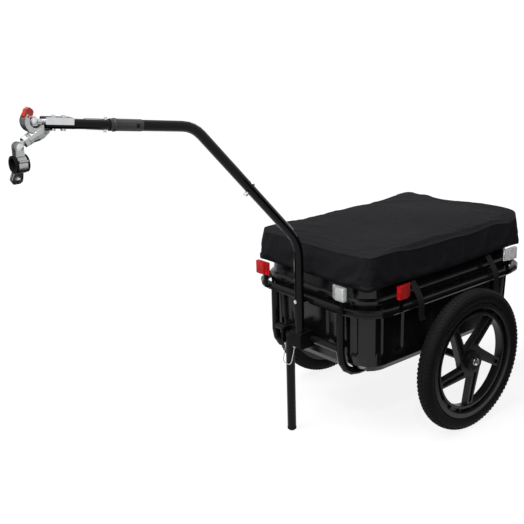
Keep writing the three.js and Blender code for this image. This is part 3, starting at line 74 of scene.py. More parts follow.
def place_camera():
    back = Vector((
        math.sin(CAMERA_AROUND) * math.cos(CAMERA_DOWN),
        -math.cos(CAMERA_AROUND) * math.cos(CAMERA_DOWN),
        math.sin(CAMERA_DOWN),
    ))
    level = Vector((math.cos(CAMERA_AROUND), math.sin(CAMERA_AROUND), 0))
    upright = back.cross(level)
    right = level * math.cos(CAMERA_ROLL) + upright * math.sin(CAMERA_ROLL)
    up = upright * math.cos(CAMERA_ROLL) - level * math.sin(CAMERA_ROLL)
    data = bpy.data.cameras.new("camera")
    data.sensor_width = SENSOR_WIDTH
    data.lens = LENS
    data.shift_x, data.shift_y = LENS_SHIFT
    camera = bpy.data.objects.new("camera", data)
    turned = Matrix((right, up, back)).transposed().to_4x4()
    camera.matrix_world = Matrix.Translation(CAMERA_PLACE) @ turned
    scene.collection.objects.link(camera)
    scene.camera = camera
    return camera


camera = place_camera()
print("camera at", tuple(round(v, 3) for v in camera.matrix_world.translation))

# %% [markdown]
# ## Floor, backdrop and light
# A product is photographed on a pale sweep under large soft lamps. Here both the floor and
# what lies past it look white through the Light Path node to the camera, to polished metal
# and to a clear lens, and the floor keeps a soft shadow. The light that reaches the object
# stays at a plain level, so each colour renders about as it is written. A wide sun from
# above and in front lights the cover and the front. A weaker one from the left picks out
# the wheel, and a small hard one draws thin bright lines on the tubes. Glossy black mirrors
# whatever stands beside it, so, as photographers do, a black card beside the wheel keeps
# the long side deep black, one lies in front for the tub's collar, and two behind and under
# the bright hitch give its metal dark contours. Only reflections see them.

# %% Build the stage
FLOOR_REACH = 60
FLOOR_DROP = 0.0005
FLOOR_GLOW = 0.87
FLOOR_SHOWN = 0.20
FLOOR_BOUNCE = 0.14
SKY_FILL = 0.09


def node(tree, kind, place=(0, 0), **values):
    made = tree.nodes.new(kind)
    made.location = place
    for name, value in values.items():
        if name in made.inputs:
            made.inputs[name].default_value = value
        else:
            setattr(made, name, value)
    return made


def seen_directly(tree):
    paths = node(tree, "ShaderNodeLightPath", (-900, 300))
    first = node(tree, "ShaderNodeMath", (-700, 300), operation="MAXIMUM")
    second = node(tree, "ShaderNodeMath", (-500, 300), operation="MAXIMUM")
    tree.links.new(paths.outputs["Is Camera Ray"], first.inputs[0])
    tree.links.new(paths.outputs["Is Glossy Ray"], first.inputs[1])
    tree.links.new(first.outputs[0], second.inputs[0])
    tree.links.new(paths.outputs["Is Transmission Ray"], second.inputs[1])
    return second.outputs[0]


def build_world(fill):
    world = bpy.data.worlds.new("studio")
    world.use_nodes = True
    tree = world.node_tree
    tree.nodes.clear()
    plain = node(tree, "ShaderNodeBackground", (-200, 100), Color=(1, 1, 1, 1), Strength=fill)
    white = node(tree, "ShaderNodeBackground", (-200, -100), Color=(1, 1, 1, 1), Strength=1)
    mix = node(tree, "ShaderNodeMixShader", (0, 0))
    out = node(tree, "ShaderNodeOutputWorld", (200, 0))
    tree.links.new(seen_directly(tree), mix.inputs[0])
    tree.links.new(plain.outputs[0], mix.inputs[1])
    tree.links.new(white.outputs[0], mix.inputs[2])
    tree.links.new(mix.outputs[0], out.inputs[0])
    scene.world = world


def build_floor():
    data = bpy.data.meshes.new("floor")
    r = FLOOR_REACH
    data.from_pydata([(-r, -r, 0), (r, -r, 0), (r, r, 0), (-r, r, 0)], [], [(0, 1, 2, 3)])
    floor = bpy.data.objects.new("floor", data)
    floor.location.z = -FLOOR_DROP
    scene.collection.objects.link(floor)
    pale = bpy.data.materials.new("floor_pale")
    pale.use_nodes = True
    tree = pale.node_tree
    tree.nodes.clear()
    glow = node(tree, "ShaderNodeEmission", (-400, 200), Color=(1, 1, 1, 1), Strength=FLOOR_GLOW)
    shown = node(tree, "ShaderNodeBsdfDiffuse", (-400, 50), Color=(FLOOR_SHOWN,) * 3 + (1,))
    bounce = node(tree, "ShaderNodeBsdfDiffuse", (-400, -150), Color=(FLOOR_BOUNCE,) * 3 + (1,))
    both = node(tree, "ShaderNodeAddShader", (-200, 100))
    mix = node(tree, "ShaderNodeMixShader", (0, 0))
    out = node(tree, "ShaderNodeOutputMaterial", (200, 0))
    tree.links.new(glow.outputs[0], both.inputs[0])
    tree.links.new(shown.outputs[0], both.inputs[1])
    tree.links.new(seen_directly(tree), mix.inputs[0])
    tree.links.new(bounce.outputs[0], mix.inputs[1])
    tree.links.new(both.outputs[0], mix.inputs[2])
    tree.links.new(mix.outputs[0], out.inputs[0])
    data.materials.append(pale)


LAMP_AWAY = 3


def add_sun(name, towards, strength, angle):
    data = bpy.data.lights.new(name, "SUN")
    data.energy = strength
    data.angle = math.radians(angle)
    lamp = bpy.data.objects.new(name, data)
    lamp.location = Vector(towards) * LAMP_AWAY
    lamp.rotation_euler = Vector(towards).to_track_quat("Z", "Y").to_euler()
    scene.collection.objects.link(lamp)


CARDS = {
    "side_card": ((0.52, 0.12, 0), (0.52, 2.6, 0), (0.52, 2.6, 0.62), (0.52, 0.12, 0.62)),
    "front_card": ((-2.4, -2.2, 0.002), (-0.3, -2.2, 0.002), (-0.3, -0.66, 0.002), (-2.4, -0.66, 0.002)),
    "hitch_card": ((-0.36, -0.98, 0.66), (-0.36, -0.40, 0.66), (-0.30, -0.40, 1.12), (-0.30, -0.98, 1.12)),
    "hitch_floor": ((-0.25, -0.98, 0.62), (0.25, -0.98, 0.62), (0.25, -0.40, 0.62), (-0.25, -0.40, 0.62)),
}


def stand_card(name, corners):
    data = bpy.data.meshes.new(name)
    data.from_pydata(corners, [], [(0, 1, 2, 3)])
    card = bpy.data.objects.new(name, data)
    scene.collection.objects.link(card)
    card.visible_camera = False
    card.visible_diffuse = False
    card.visible_shadow = False
    card.visible_transmission = False
    matt = bpy.data.materials.new("card_black")
    matt.use_nodes = True
    shader = matt.node_tree.nodes["Principled BSDF"]
    shader.inputs["Base Color"].default_value = (0.01, 0.01, 0.01, 1)
    shader.inputs["Roughness"].default_value = 1.0
    shader.inputs["Specular IOR Level"].default_value = 0.0
    data.materials.append(matt)


build_world(SKY_FILL)
build_floor()
for card_name, card_corners in CARDS.items():
    stand_card(card_name, card_corners)
add_sun("sun_key", (-0.08, -0.5, 0.86), 2.35, 38)
add_sun("sun_left", (0.85, -0.2, 0.45), 0.16, 50)
add_sun("sun_spark", (0.47, -0.52, 0.71), 0.5, 3)
scene.view_settings.view_transform = "Standard"

# %% [markdown]
# ## Shared surface effects
# Several finishes show the same small effects at different strengths: the pebbled skin of
# powder coat and moulded plastic, faint handling scuffs, and dust that settles on what
# faces up. Each is a node group with named inputs and outputs. A group gives only values
# that change over the surface; the shader itself stays in each material.

# %% Build the groups for grain, scuffs, dust and weave
SURFACE_KIND = {"Height": "NodeSocketFloat", "Mask": "NodeSocketFloat", "Color": "NodeSocketColor"}


def new_group(name, inputs, outputs):
    tree = bpy.data.node_groups.new(name, "ShaderNodeTree")
    for label, value in inputs.items():
        kind = "NodeSocketColor" if isinstance(value, tuple) else "NodeSocketFloat"
        socket = tree.interface.new_socket(label, in_out="INPUT", socket_type=kind)
        socket.default_value = value
    for label in outputs:
        tree.interface.new_socket(label, in_out="OUTPUT", socket_type=SURFACE_KIND[label])
    return tree, node(tree, "NodeGroupInput", (-900, 0)), node(tree, "NodeGroupOutput", (700, 0))


def maths(tree, operation, a, b=None, place=(0, 0)):
    made = node(tree, "ShaderNodeMath", place, operation=operation)
    for slot_number, value in enumerate((a, b)):
        if value is None:
            continue
        if isinstance(value, (int, float)):
            made.inputs[slot_number].default_value = value
        else:
            tree.links.new(value, made.inputs[slot_number])
    return made.outputs[0]


def build_grain():
    tree, given, result = new_group("surface_grain", {"Scale": 900.0, "Amount": 1.0}, ["Height", "Mask"])
    place = node(tree, "ShaderNodeTexCoord", (-900, 300))
    cells = node(tree, "ShaderNodeTexVoronoi", (-600, 200), feature="SMOOTH_F1")
    cloud = node(tree, "ShaderNodeTexNoise", (-600, -100), Detail=3.0)
    tree.links.new(place.outputs["Object"], cells.inputs["Vector"])
    tree.links.new(given.outputs["Scale"], cells.inputs["Scale"])
    tree.links.new(place.outputs["Object"], cloud.inputs["Vector"])
    broad = maths(tree, "MULTIPLY", given.outputs["Scale"], 0.08, (-750, -200))
    tree.links.new(broad, cloud.inputs["Scale"])
    both = maths(tree, "ADD", cells.outputs["Distance"], maths(tree, "MULTIPLY", cloud.outputs["Fac"], 0.5))
    tree.links.new(maths(tree, "MULTIPLY", both, given.outputs["Amount"], (300, 0)), result.inputs["Height"])
    tree.links.new(cloud.outputs["Fac"], result.inputs["Mask"])
    return tree


def build_scuffs():
    tree, given, result = new_group("handling_scuffs", {"Scale": 30.0, "Threshold": 0.62}, ["Mask"])
    place = node(tree, "ShaderNodeTexCoord", (-900, 300))
    stretch = node(tree, "ShaderNodeMapping", (-700, 300))
    stretch.inputs["Scale"].default_value = (1, 0.45, 2.2)
    cloud = node(tree, "ShaderNodeTexNoise", (-500, 200), Detail=8.0, Roughness=0.7)
    tree.links.new(place.outputs["Object"], stretch.inputs["Vector"])
    tree.links.new(stretch.outputs[0], cloud.inputs["Vector"])
    tree.links.new(given.outputs["Scale"], cloud.inputs["Scale"])
    above = maths(tree, "SUBTRACT", cloud.outputs["Fac"], given.outputs["Threshold"], (-200, 100))
    steeper = maths(tree, "MULTIPLY", above, 4)
    tree.links.new(maths(tree, "MAXIMUM", steeper, 0, (200, 0)), result.inputs["Mask"])
    return tree


def build_dust():
    tree, given, result = new_group("settled_dust", {"Amount": 0.3}, ["Mask"])
    facing = node(tree, "ShaderNodeNewGeometry", (-900, 300))
    split = node(tree, "ShaderNodeSeparateXYZ", (-700, 300))
    place = node(tree, "ShaderNodeTexCoord", (-900, -100))
    cloud = node(tree, "ShaderNodeTexNoise", (-600, -100), Scale=14.0, Detail=6.0)
    tree.links.new(facing.outputs["Normal"], split.inputs[0])
    tree.links.new(place.outputs["Object"], cloud.inputs["Vector"])
    upward = maths(tree, "POWER", maths(tree, "MAXIMUM", split.outputs["Z"], 0), 2, (-300, 200))
    patchy = maths(tree, "MULTIPLY", upward, cloud.outputs["Fac"], (0, 100))
    tree.links.new(maths(tree, "MULTIPLY", patchy, given.outputs["Amount"], (300, 0)), result.inputs["Mask"])
    return tree


def build_weave():
    tree, given, result = new_group("plain_weave", {"Threads": 900.0}, ["Height", "Mask"])
    place = node(tree, "ShaderNodeUVMap", (-900, 300))
    split = node(tree, "ShaderNodeSeparateXYZ", (-700, 300))
    tree.links.new(place.outputs[0], split.inputs[0])
    along = maths(tree, "MULTIPLY", split.outputs["X"], given.outputs["Threads"], (-500, 300))
    across = maths(tree, "MULTIPLY", split.outputs["Y"], given.outputs["Threads"], (-500, 100))
    warp = maths(tree, "SINE", along, None, (-300, 300))
    weft = maths(tree, "SINE", across, None, (-300, 100))
    over = maths(tree, "MULTIPLY", warp, weft, (-100, 200))
    halved = maths(tree, "MULTIPLY", over, 0.5)
    tree.links.new(maths(tree, "ADD", halved, 0.5, (200, 200)), result.inputs["Height"])
    slubs = node(tree, "ShaderNodeTexNoise", (-300, -200), Scale=320.0, Detail=6.0, Roughness=0.75)
    tree.links.new(place.outputs[0], slubs.inputs["Vector"])
    tree.links.new(slubs.outputs["Fac"], result.inputs["Mask"])
    return tree


grain_group = build_grain()
scuff_group = build_scuffs()
dust_group = build_dust()
weave_group = build_weave()
print("groups", [g.name for g in bpy.data.node_groups])

# %% [markdown]
# ## Finishes
# The frame is satin black powder coat on steel. The hitch is of zinc plated sheet and rough
# cast pieces. The tub and the wheels are moulded plastic, the sleeve is a ribbed grip, and
# the tyres are rubber. All of these start from one helper that sets the plain values on the
# shader and lets grain, scuffs and dust vary its colour and roughness.

# %% Mix a hard finish


def place_group(tree, group, place, **values):
    made = tree.nodes.new("ShaderNodeGroup")
    made.node_tree = group
    made.location = place
    for name, value in values.items():
        made.inputs[name].default_value = value
    return made


def mix_colour(tree, amount, first, second, place=(0, 0)):
    made = node(tree, "ShaderNodeMix", place, data_type="RGBA")
    for socket, value in ((made.inputs[0], amount), (made.inputs[6], first), (made.inputs[7], second)):
        if isinstance(value, (int, float, tuple)):
            socket.default_value = value
        else:
            tree.links.new(value, socket)
    return made.outputs[2]


def spread(tree, value, low, high, place=(0, 0)):
    made = node(tree, "ShaderNodeMapRange", place)
    made.inputs["To Min"].default_value = low
    made.inputs["To Max"].default_value = high
    tree.links.new(value, made.inputs["Value"])
    return made.outputs[0]


def raise_surface(tree, height, strength, distance):
    bump = node(tree, "ShaderNodeBump", (-300, -300), Strength=strength, Distance=distance)
    tree.links.new(height, bump.inputs["Height"])
    tree.links.new(bump.outputs[0], tree.nodes["Principled BSDF"].inputs["Normal"])


DUST_TONE = (0.16, 0.15, 0.14, 1)
SCUFF_SCALE, SCUFF_THRESHOLD, SCUFF_ROUGHER = 26.0, 0.6, 0.25
COAT_ROUGH = 0.12
GRAIN_STRENGTH = 0.35


def finish_material(name, tone, rough, grain, worn, dusty=0.25, metallic=0.0, specular=0.5, coat=0.0):
    made = bpy.data.materials.new(name)
    made.use_nodes = True
    tree = made.node_tree
    shader = tree.nodes["Principled BSDF"]
    shader.inputs["Metallic"].default_value = metallic
    shader.inputs["Specular IOR Level"].default_value = specular
    shader.inputs["Coat Weight"].default_value = coat
    shader.inputs["Coat Roughness"].default_value = COAT_ROUGH
    scale, height = grain
    fine = place_group(tree, grain_group, (-900, -200), Scale=scale, Amount=1.0)
    scuffs = place_group(tree, scuff_group, (-900, 100), Scale=SCUFF_SCALE, Threshold=SCUFF_THRESHOLD)
    dust = place_group(tree, dust_group, (-900, 400), Amount=dusty)
    base = mix_colour(tree, fine.outputs["Mask"], tone[0] + (1,), tone[1] + (1,), (-600, 300))
    rubbed = maths(tree, "MULTIPLY", scuffs.outputs["Mask"], worn, (-700, 100))
    shown = mix_colour(tree, rubbed, base, tone[2] + (1,), (-400, 300))
    dusted = mix_colour(tree, dust.outputs["Mask"], shown, DUST_TONE, (-200, 300))
    tree.links.new(dusted, shader.inputs["Base Color"])
    varied = spread(tree, fine.outputs["Mask"], rough[0], rough[1], (-500, 0))
    rougher = maths(tree, "ADD", varied, maths(tree, "MULTIPLY", rubbed, SCUFF_ROUGHER), (-200, 0))
    tree.links.new(rougher, shader.inputs["Roughness"])
    raise_surface(tree, fine.outputs["Height"], GRAIN_STRENGTH, height)
    return made


# Tones: darker, lighter and rubbed. Rough: smoothest and roughest. Grain: cells per metre, height
finishes = {
    "black_paint": finish_material(
        "black_paint", ((0.005, 0.005, 0.006), (0.009, 0.009, 0.010), (0.025, 0.025, 0.027)),
        (0.14, 0.24), (1400, 0.00006), 0.25, dusty=0.04, specular=0.07, coat=0.12),
    "zinc": finish_material(
        "zinc", ((0.54, 0.55, 0.56), (0.68, 0.69, 0.70), (0.40, 0.40, 0.40)),
        (0.2, 0.34), (700, 0.00004), 0.6, dusty=0.1, metallic=1.0),
    "cast_zinc": finish_material(
        "cast_zinc", ((0.30, 0.305, 0.31), (0.52, 0.525, 0.53), (0.62, 0.62, 0.62)),
        (0.3, 0.46), (420, 0.0002), 0.8, dusty=0.1, metallic=1.0),
    "wheel_plastic": finish_material(
        "wheel_plastic", ((0.009, 0.009, 0.010), (0.014, 0.014, 0.015), (0.03, 0.03, 0.03)),
        (0.32, 0.44), (1600, 0.0001), 0.3, dusty=0.06, specular=0.3),
    "hub_plastic": finish_material(
        "hub_plastic", ((0.006, 0.006, 0.0065), (0.010, 0.010, 0.0105), (0.025, 0.025, 0.025)),
        (0.35, 0.45), (1600, 0.0001), 0.3, dusty=0.04, specular=0.12),
    "tyre": finish_material(
        "tyre", ((0.007, 0.007, 0.0075), (0.012, 0.012, 0.0125), (0.026, 0.025, 0.024)),
        (0.6, 0.78), (1100, 0.00025), 0.5, dusty=0.06, specular=0.1),
    "tub_plastic": finish_material(
        "tub_plastic", ((0.005, 0.005, 0.006), (0.009, 0.009, 0.0102), (0.03, 0.03, 0.032)),
        (0.16, 0.26), (1300, 0.00008), 0.35, dusty=0.03, specular=0.32),
    "block_plastic": finish_material(
        "block_plastic", ((0.0045, 0.0045, 0.005), (0.007, 0.007, 0.0075), (0.02, 0.02, 0.02)),
        (0.45, 0.6), (1300, 0.00014), 0.3, dusty=0.03, specular=0.06),
    "ribbed_grip": finish_material(
        "ribbed_grip", ((0.022, 0.022, 0.024), (0.075, 0.075, 0.078), (0.10, 0.10, 0.10)),
        (0.38, 0.5), (520, 0.0003), 0.4, dusty=0.1, specular=0.4),
    "red_plastic": finish_material(
        "red_plastic", ((0.74, 0.045, 0.03), (0.86, 0.075, 0.05), (0.86, 0.22, 0.17)),
        (0.25, 0.36), (1300, 0.00008), 0.3, dusty=0.1, specular=0.5),
    "bush_rubber": finish_material(
        "bush_rubber", ((0.007, 0.007, 0.0075), (0.012, 0.012, 0.0125), (0.03, 0.03, 0.03)),
        (0.6, 0.8), (1200, 0.0002), 0.4, dusty=0.05, specular=0.12),
}
print("hard finishes", sorted(finishes))

# %% [markdown]
# ## Reflector lenses
# A reflector is a clear or red moulded lens whose back is covered with tiny cube-corner
# prisms. Seen from outside they show as a fine grid of facets. A Voronoi pattern in even
# cells tilts the surface facet by facet and darkens it between them, and a half metallic
# shader throws light back as the prisms do.

# %% Mix the lens finishes


LENS_ROUGH = 0.25
LENS_METAL = 0.5
LENS_CELLS = 300.0
FACET_STRENGTH, FACET_HEIGHT = 0.9, 0.003


def lens_material(name, shade, deep, gloss):
    made = bpy.data.materials.new(name)
    made.use_nodes = True
    tree = made.node_tree
    shader = tree.nodes["Principled BSDF"]
    shader.inputs["Roughness"].default_value = LENS_ROUGH
    shader.inputs["Metallic"].default_value = LENS_METAL
    shader.inputs["Specular IOR Level"].default_value = gloss
    place = node(tree, "ShaderNodeTexCoord", (-1100, 0))
    facets = node(tree, "ShaderNodeTexVoronoi", (-800, 100), Scale=LENS_CELLS, Randomness=0.0)
    facets.distance = "MANHATTAN"
    tree.links.new(place.outputs["Object"], facets.inputs["Vector"])
    cloud = node(tree, "ShaderNodeTexNoise", (-800, -200), Scale=70.0, Detail=2.0)
    tree.links.new(place.outputs["Object"], cloud.inputs["Vector"])
    depth = maths(tree, "MULTIPLY", facets.outputs["Distance"], cloud.outputs["Fac"], (-500, 0))
    tinted = mix_colour(tree, maths(tree, "MULTIPLY", depth, 1.5), shade + (1,), deep + (1,), (-300, 200))
    tree.links.new(tinted, shader.inputs["Base Color"])
    raise_surface(tree, facets.outputs["Distance"], FACET_STRENGTH, FACET_HEIGHT)
    return made


finishes["white_lens"] = lens_material("white_lens", (0.84, 0.85, 0.85), (0.46, 0.47, 0.48), 0.25)
finishes["red_lens"] = lens_material("red_lens", (0.68, 0.008, 0.010), (0.38, 0.003, 0.004), 0.06)
print("lens finishes ready")

# %% [markdown]
# ## Dress the loaded pieces
# The loaded pieces keep their shape. Each takes the finish of its slot, is shaded smooth
# where its faces meet at a low angle, and gets a narrow bevel, because no real edge is
# perfectly sharp and it is the bevel that catches the light.

# %% Give every loaded piece its finish
EDGE_ROUND = {"tub": 0.0007, "spokes": 0.0011, "drawbar_bracket": 0.0012}
EDGE_ROUND_ELSEWHERE = 0.0004
EDGE_ANGLE = math.radians(32)
OWN_FINISH = {"coupler_body": "cast_zinc", "coupler_swivel": "cast_zinc", "clamp_yoke": "cast_zinc",
              "clamp_half": "cast_zinc", "drawbar_sleeve": "ribbed_grip"}
record = frame["record"]
slot_of = {part["node"]: part["material_slot"] for part in record["subparts"]}


def dress(name):
    piece = frame["nodes"][name]
    finish = finishes.get(OWN_FINISH.get(name, slot_of[name]))
    if finish is None:
        return
    if piece.material_slots:
        piece.material_slots[0].material = finish
    else:
        piece.data.materials.append(finish)
    piece.data.shade_smooth()
    piece.data.set_sharp_from_angle(angle=EDGE_ANGLE)
    bevel = piece.modifiers.new("edge", "BEVEL")
    bevel.width = next((w for start, w in EDGE_ROUND.items() if name.startswith(start)), EDGE_ROUND_ELSEWHERE)
    bevel.segments = 2
    bevel.limit_method = "ANGLE"
    bevel.angle_limit = EDGE_ANGLE
    bevel.harden_normals = True


for name in frame["nodes"]:
    dress(name)
print("dressed", len(frame["nodes"]), "pieces")

# %% [markdown]
# ## Reflectors
# Each loaded reflector is a plain prism. The moulded one has well rounded corners and is
# slightly smaller, so a copy is drawn in a little towards one end and rounded.

# %% Mould the reflectors
REFLECTOR_ROUND = 0.0036
WELD = 0.00001
# Share of the length and of the height, shift along the rail and upwards in metres
REFLECTOR_FIT = {"front": (0.87, 0.86, -0.003, -0.001), "rear": (0.87, 0.86, 0, 0),
                 "side_front": (0.87, 0.86, 0.003, -0.001), "side_rear": (0.94, 0.8, 0, 0.004)}


def loaded_copy(name):
    data = frame["nodes"][name].data.copy()
    data.transform(frame["nodes"][name].matrix_world)
    return data


def middle_and_size(name):
    low, high = (Vector(c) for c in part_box(name))
    return (low + high) / 2, high - low


def smooth_mesh(shape, data, sharp=None):
    shape.to_mesh(data)
    shape.free()
    data.shade_smooth()
    if sharp:
        data.set_sharp_from_angle(angle=math.radians(sharp))


def place_piece(name, data):
    piece = bpy.data.objects.new(name, data)
    scene.collection.objects.link(piece)
    return piece


def mould_reflector(name):
    along, tall, shift, rise = REFLECTOR_FIT[name.split("_", 1)[1].rsplit("_", 1)[0]]
    middle, size = middle_and_size(name)
    axis = 0 if size.x > size.y else 1
    data = loaded_copy(name)
    for v in data.vertices:
        v.co[axis] = middle[axis] + (v.co[axis] - middle[axis]) * along + shift
        v.co.z = middle.z + (v.co.z - middle.z) * tall + rise
    shape = bmesh.new()
    shape.from_mesh(data)
    bmesh.ops.remove_doubles(shape, verts=shape.verts, dist=WELD)
    bmesh.ops.dissolve_limit(shape, angle_limit=math.radians(2), verts=shape.verts, edges=shape.edges)
    bmesh.ops.bevel(shape, geom=shape.edges[:], offset=REFLECTOR_ROUND, segments=4, profile=0.6,
                    affect="EDGES", clamp_overlap=True)
    data.clear_geometry()
    smooth_mesh(shape, data, sharp=25)
    data.name = name + "_lens"
    data.materials.clear()
    data.materials.append(finishes[slot_of[name]])
    piece = place_piece(name + "_lens", data)
    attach(piece, "frame")
    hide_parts(name)


reflector_names = [name for name in frame["nodes"] if name.startswith("reflector")]
for name in reflector_names:
    mould_reflector(name)
print("moulded", len(reflector_names), "reflectors")

# %% [markdown]
# ## The arm's lock pin
# The wire bail of the hitch arm's pin lies close along the tube. The loaded one stands off
# a little, so pin and bail are drawn in towards the tube's axis.

# %% Draw in the pin and its bail
ARM_LEAN = math.radians(8.1)
PIN_SNUG = {"arm_pin": ("arm", 0.84), "arm_pin_bail": ("arm_bail", 0.74)}


def draw_in(name, body, share):
    middle = middle_and_size("arm_pin")[0]
    across = Vector((0, math.sin(ARM_LEAN), math.cos(ARM_LEAN)))
    data = loaded_copy(name)
    for v in data.vertices:
        v.co += across * (v.co - middle).dot(across) * (share - 1)
    data.name = name + "_snug"
    piece = place_piece(name + "_snug", data)
    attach(piece, body)
    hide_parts(name)


for name, (body, share) in PIN_SNUG.items():
    draw_in(name, body, share)
print("drew in", sorted(PIN_SNUG))

# %% [markdown]
# ## Woven finishes
# The cover is a coated polyester plain weave. From a step away the single threads merge,
# and what shows is a soft sheen at grazing angles and a slight unevenness. The weave runs
# in the cloth's own UV coordinates, in metres of cloth, so it bends with every fold. The
# weave's hollows are painted darker than its raised threads: painted shade.

# %% Mix the fabric finishes


FABRIC_SPECULAR = 0.03
SHEEN_ROUGH = 0.5
FABRIC_DUST, FABRIC_DUST_TONE = 0.03, (0.2, 0.19, 0.18, 1)
SLUB_LOW, SLUB_HIGH = -0.9, 1.5
WEAVE_STRENGTH, WEAVE_HEIGHT = 0.5, 0.0003


def fabric_material(name, tone, threads, sheen, rough):
    made = bpy.data.materials.new(name)
    made.use_nodes = True
    tree = made.node_tree
    shader = tree.nodes["Principled BSDF"]
    shader.inputs["Roughness"].default_value = rough
    shader.inputs["Specular IOR Level"].default_value = FABRIC_SPECULAR
    shader.inputs["Sheen Weight"].default_value = sheen
    shader.inputs["Sheen Roughness"].default_value = SHEEN_ROUGH
    weave = place_group(tree, weave_group, (-800, 0), Threads=threads)
    dust = place_group(tree, dust_group, (-800, 300), Amount=FABRIC_DUST)
    # painted shade: the colour goes to the darker tone where the weave's height sinks, so its hollows read
    # darker
    threads_with_painted_shade = mix_colour(tree, weave.outputs["Height"], tone[0] + (1,), tone[1] + (1,), (-500, 200))
    slubs = spread(tree, weave.outputs["Mask"], SLUB_LOW, SLUB_HIGH)
    uneven = mix_colour(tree, slubs, threads_with_painted_shade, tone[1] + (1,), (-300, 200))
    dusted = mix_colour(tree, dust.outputs["Mask"], uneven, FABRIC_DUST_TONE, (-100, 200))
    tree.links.new(dusted, shader.inputs["Base Color"])
    raise_surface(tree, weave.outputs["Height"], WEAVE_STRENGTH, WEAVE_HEIGHT)
    return made


finishes["cover_fabric"] = fabric_material(
    "cover_fabric", ((0.013, 0.0125, 0.015), (0.024, 0.023, 0.027)), 5200.0, 0.01, 0.85)
finishes["webbing"] = fabric_material(
    "webbing", ((0.016, 0.016, 0.0165), (0.030, 0.030, 0.031)), 3600.0, 0.02, 0.75)
print("woven finishes ready")

# %% [markdown]
# ## Cover
# The cover is one piece of cloth sewn to a skirt. Its top lies slack on the tub's rim, rolls
# down over it in a soft shoulder and meets the skirt in a seam. On the real one the seam
# isn't level: it hangs between the corners and rides up where the cloth is bunched. Those
# heights are kept in four short tables, one for each side, and a smooth curve through
# them gives the seam. The top is a grid between the four curves.

# %% Set out the cover's edge
COVER_LOW, COVER_HIGH = (Vector(corner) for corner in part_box("cover"))
TUB_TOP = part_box("tub")[1][2]
COVER_MIDDLE = (COVER_LOW.y + COVER_HIGH.y) / 2
COVER_FLARE = 0.0035
COVER_HALF = (COVER_HIGH.x - COVER_FLARE, (COVER_HIGH.y - COVER_LOW.y) / 2 - COVER_FLARE)
COVER_CORNER = 0.027
HEM_CORNER = 0.005
COVER_CELLS = (60, 90)
SEAM_CREASE = 1.0
SHOULDER = 0.034
RIM_CLEAR = 0.0032
# Share of the side from its middle (-1 to 1), and seam height in mm over the rim
NEAR_SEAM = ((-1, 1), (-0.9, 2), (-0.73, 1.5), (-0.62, 0.5), (-0.52, -5), (-0.41, -8),
             (-0.18, -9), (0.05, -9), (0.29, -12), (0.41, -11), (0.54, -7), (0.62, -6),
             (0.74, -10), (0.86, -14), (0.95, -6), (1, 1))
FAR_SEAM = ((-1, 1), (-0.68, 1), (-0.5, -5), (-0.3, -9), (-0.18, -7), (0.1, -8),
            (0.3, -10), (0.55, -7), (0.76, -1), (1, 1))
FRONT_SEAM = ((-1, 1), (-0.9, -5), (-0.72, -3), (-0.36, -4), (0, -4), (0.32, -3),
              (0.5, -2), (0.7, 0), (0.9, 3), (1, 3))
BACK_SEAM = ((-1, -4), (-0.84, -5), (-0.7, -2), (-0.56, -5), (-0.35, -7), (-0.15, -1),
             (0.12, 6), (0.44, 11), (0.76, 12), (0.95, 6), (1, 2))


def through(table, share):
    for k in range(len(table) - 1):
        (a, low), (b, high) = table[k], table[k + 1]
        if share <= b or k == len(table) - 2:
            before = table[max(k - 1, 0)]
            after = table[min(k + 2, len(table) - 1)]
            rise_a = (high - before[1]) / max(b - before[0], 1e-6)
            rise_b = (after[1] - low) / max(after[0] - a, 1e-6)
            t = min(max((share - a) / (b - a), 0), 1)
            h = b - a
            return (low * (2 * t ** 3 - 3 * t * t + 1) + high * (3 * t * t - 2 * t ** 3)
                    + rise_a * h * (t ** 3 - 2 * t * t + t) + rise_b * h * (t ** 3 - t * t)) / 1000


print("seam at the near side's middle", round(through(NEAR_SEAM, 0) * 1000, 1), "mm over the rim")

# %% [markdown]
# ## The shape of the top
# Away from its edge the cloth rests on the rim and bulges a little over the load. Its height
# is a mix of the four seam curves, which fade out over the shoulder's width, and a low crown
# with a few broad swells. Single folds are laid on top: each is a line on the cloth with a
# width and a height, and raises or sinks what lies near it. The skirt has its own, which
# run down from the corner where the elastic gathers the cloth.

# %% Shape the top and its folds
CROWN = 0.013
CROWN_FULL = 0.8
SHOULDER_FALL = 1.6
CORNER_SHARE, CORNER_EASE = 0.93, 0.6
FOLD_FADE = 0.6
# Start and end on the top (shares of half width and length), half width and height in metres
TOP_FOLDS = (
    ((-0.95, -0.93), (-0.1, -0.80), 0.008, 0.0030),
    ((-0.75, -0.97), (0.15, -0.90), 0.006, -0.0024),
    ((-0.5, -0.88), (0.35, -0.84), 0.007, 0.0026),
    ((-0.9, -0.80), (-0.3, -0.62), 0.011, 0.0028),
    ((-0.05, -0.94), (0.6, -0.90), 0.006, 0.0018),
    ((-0.97, -0.5), (-0.55, -0.2), 0.016, 0.0024),
    ((-0.9, 0.35), (-0.45, 0.75), 0.02, 0.003),
    ((0.2, 0.95), (0.65, 0.55), 0.018, 0.003),
    ((0.9, 0.95), (0.55, 0.7), 0.014, 0.0026),
    ((0.85, -0.6), (0.6, 0.1), 0.02, 0.002),
    ((0.93, -0.85), (0.9, 0.35), 0.007, 0.003),
    ((0.91, 0.2), (0.94, 0.8), 0.006, 0.0026),
    ((-0.6, -0.93), (0.5, -0.95), 0.005, 0.0024),
)
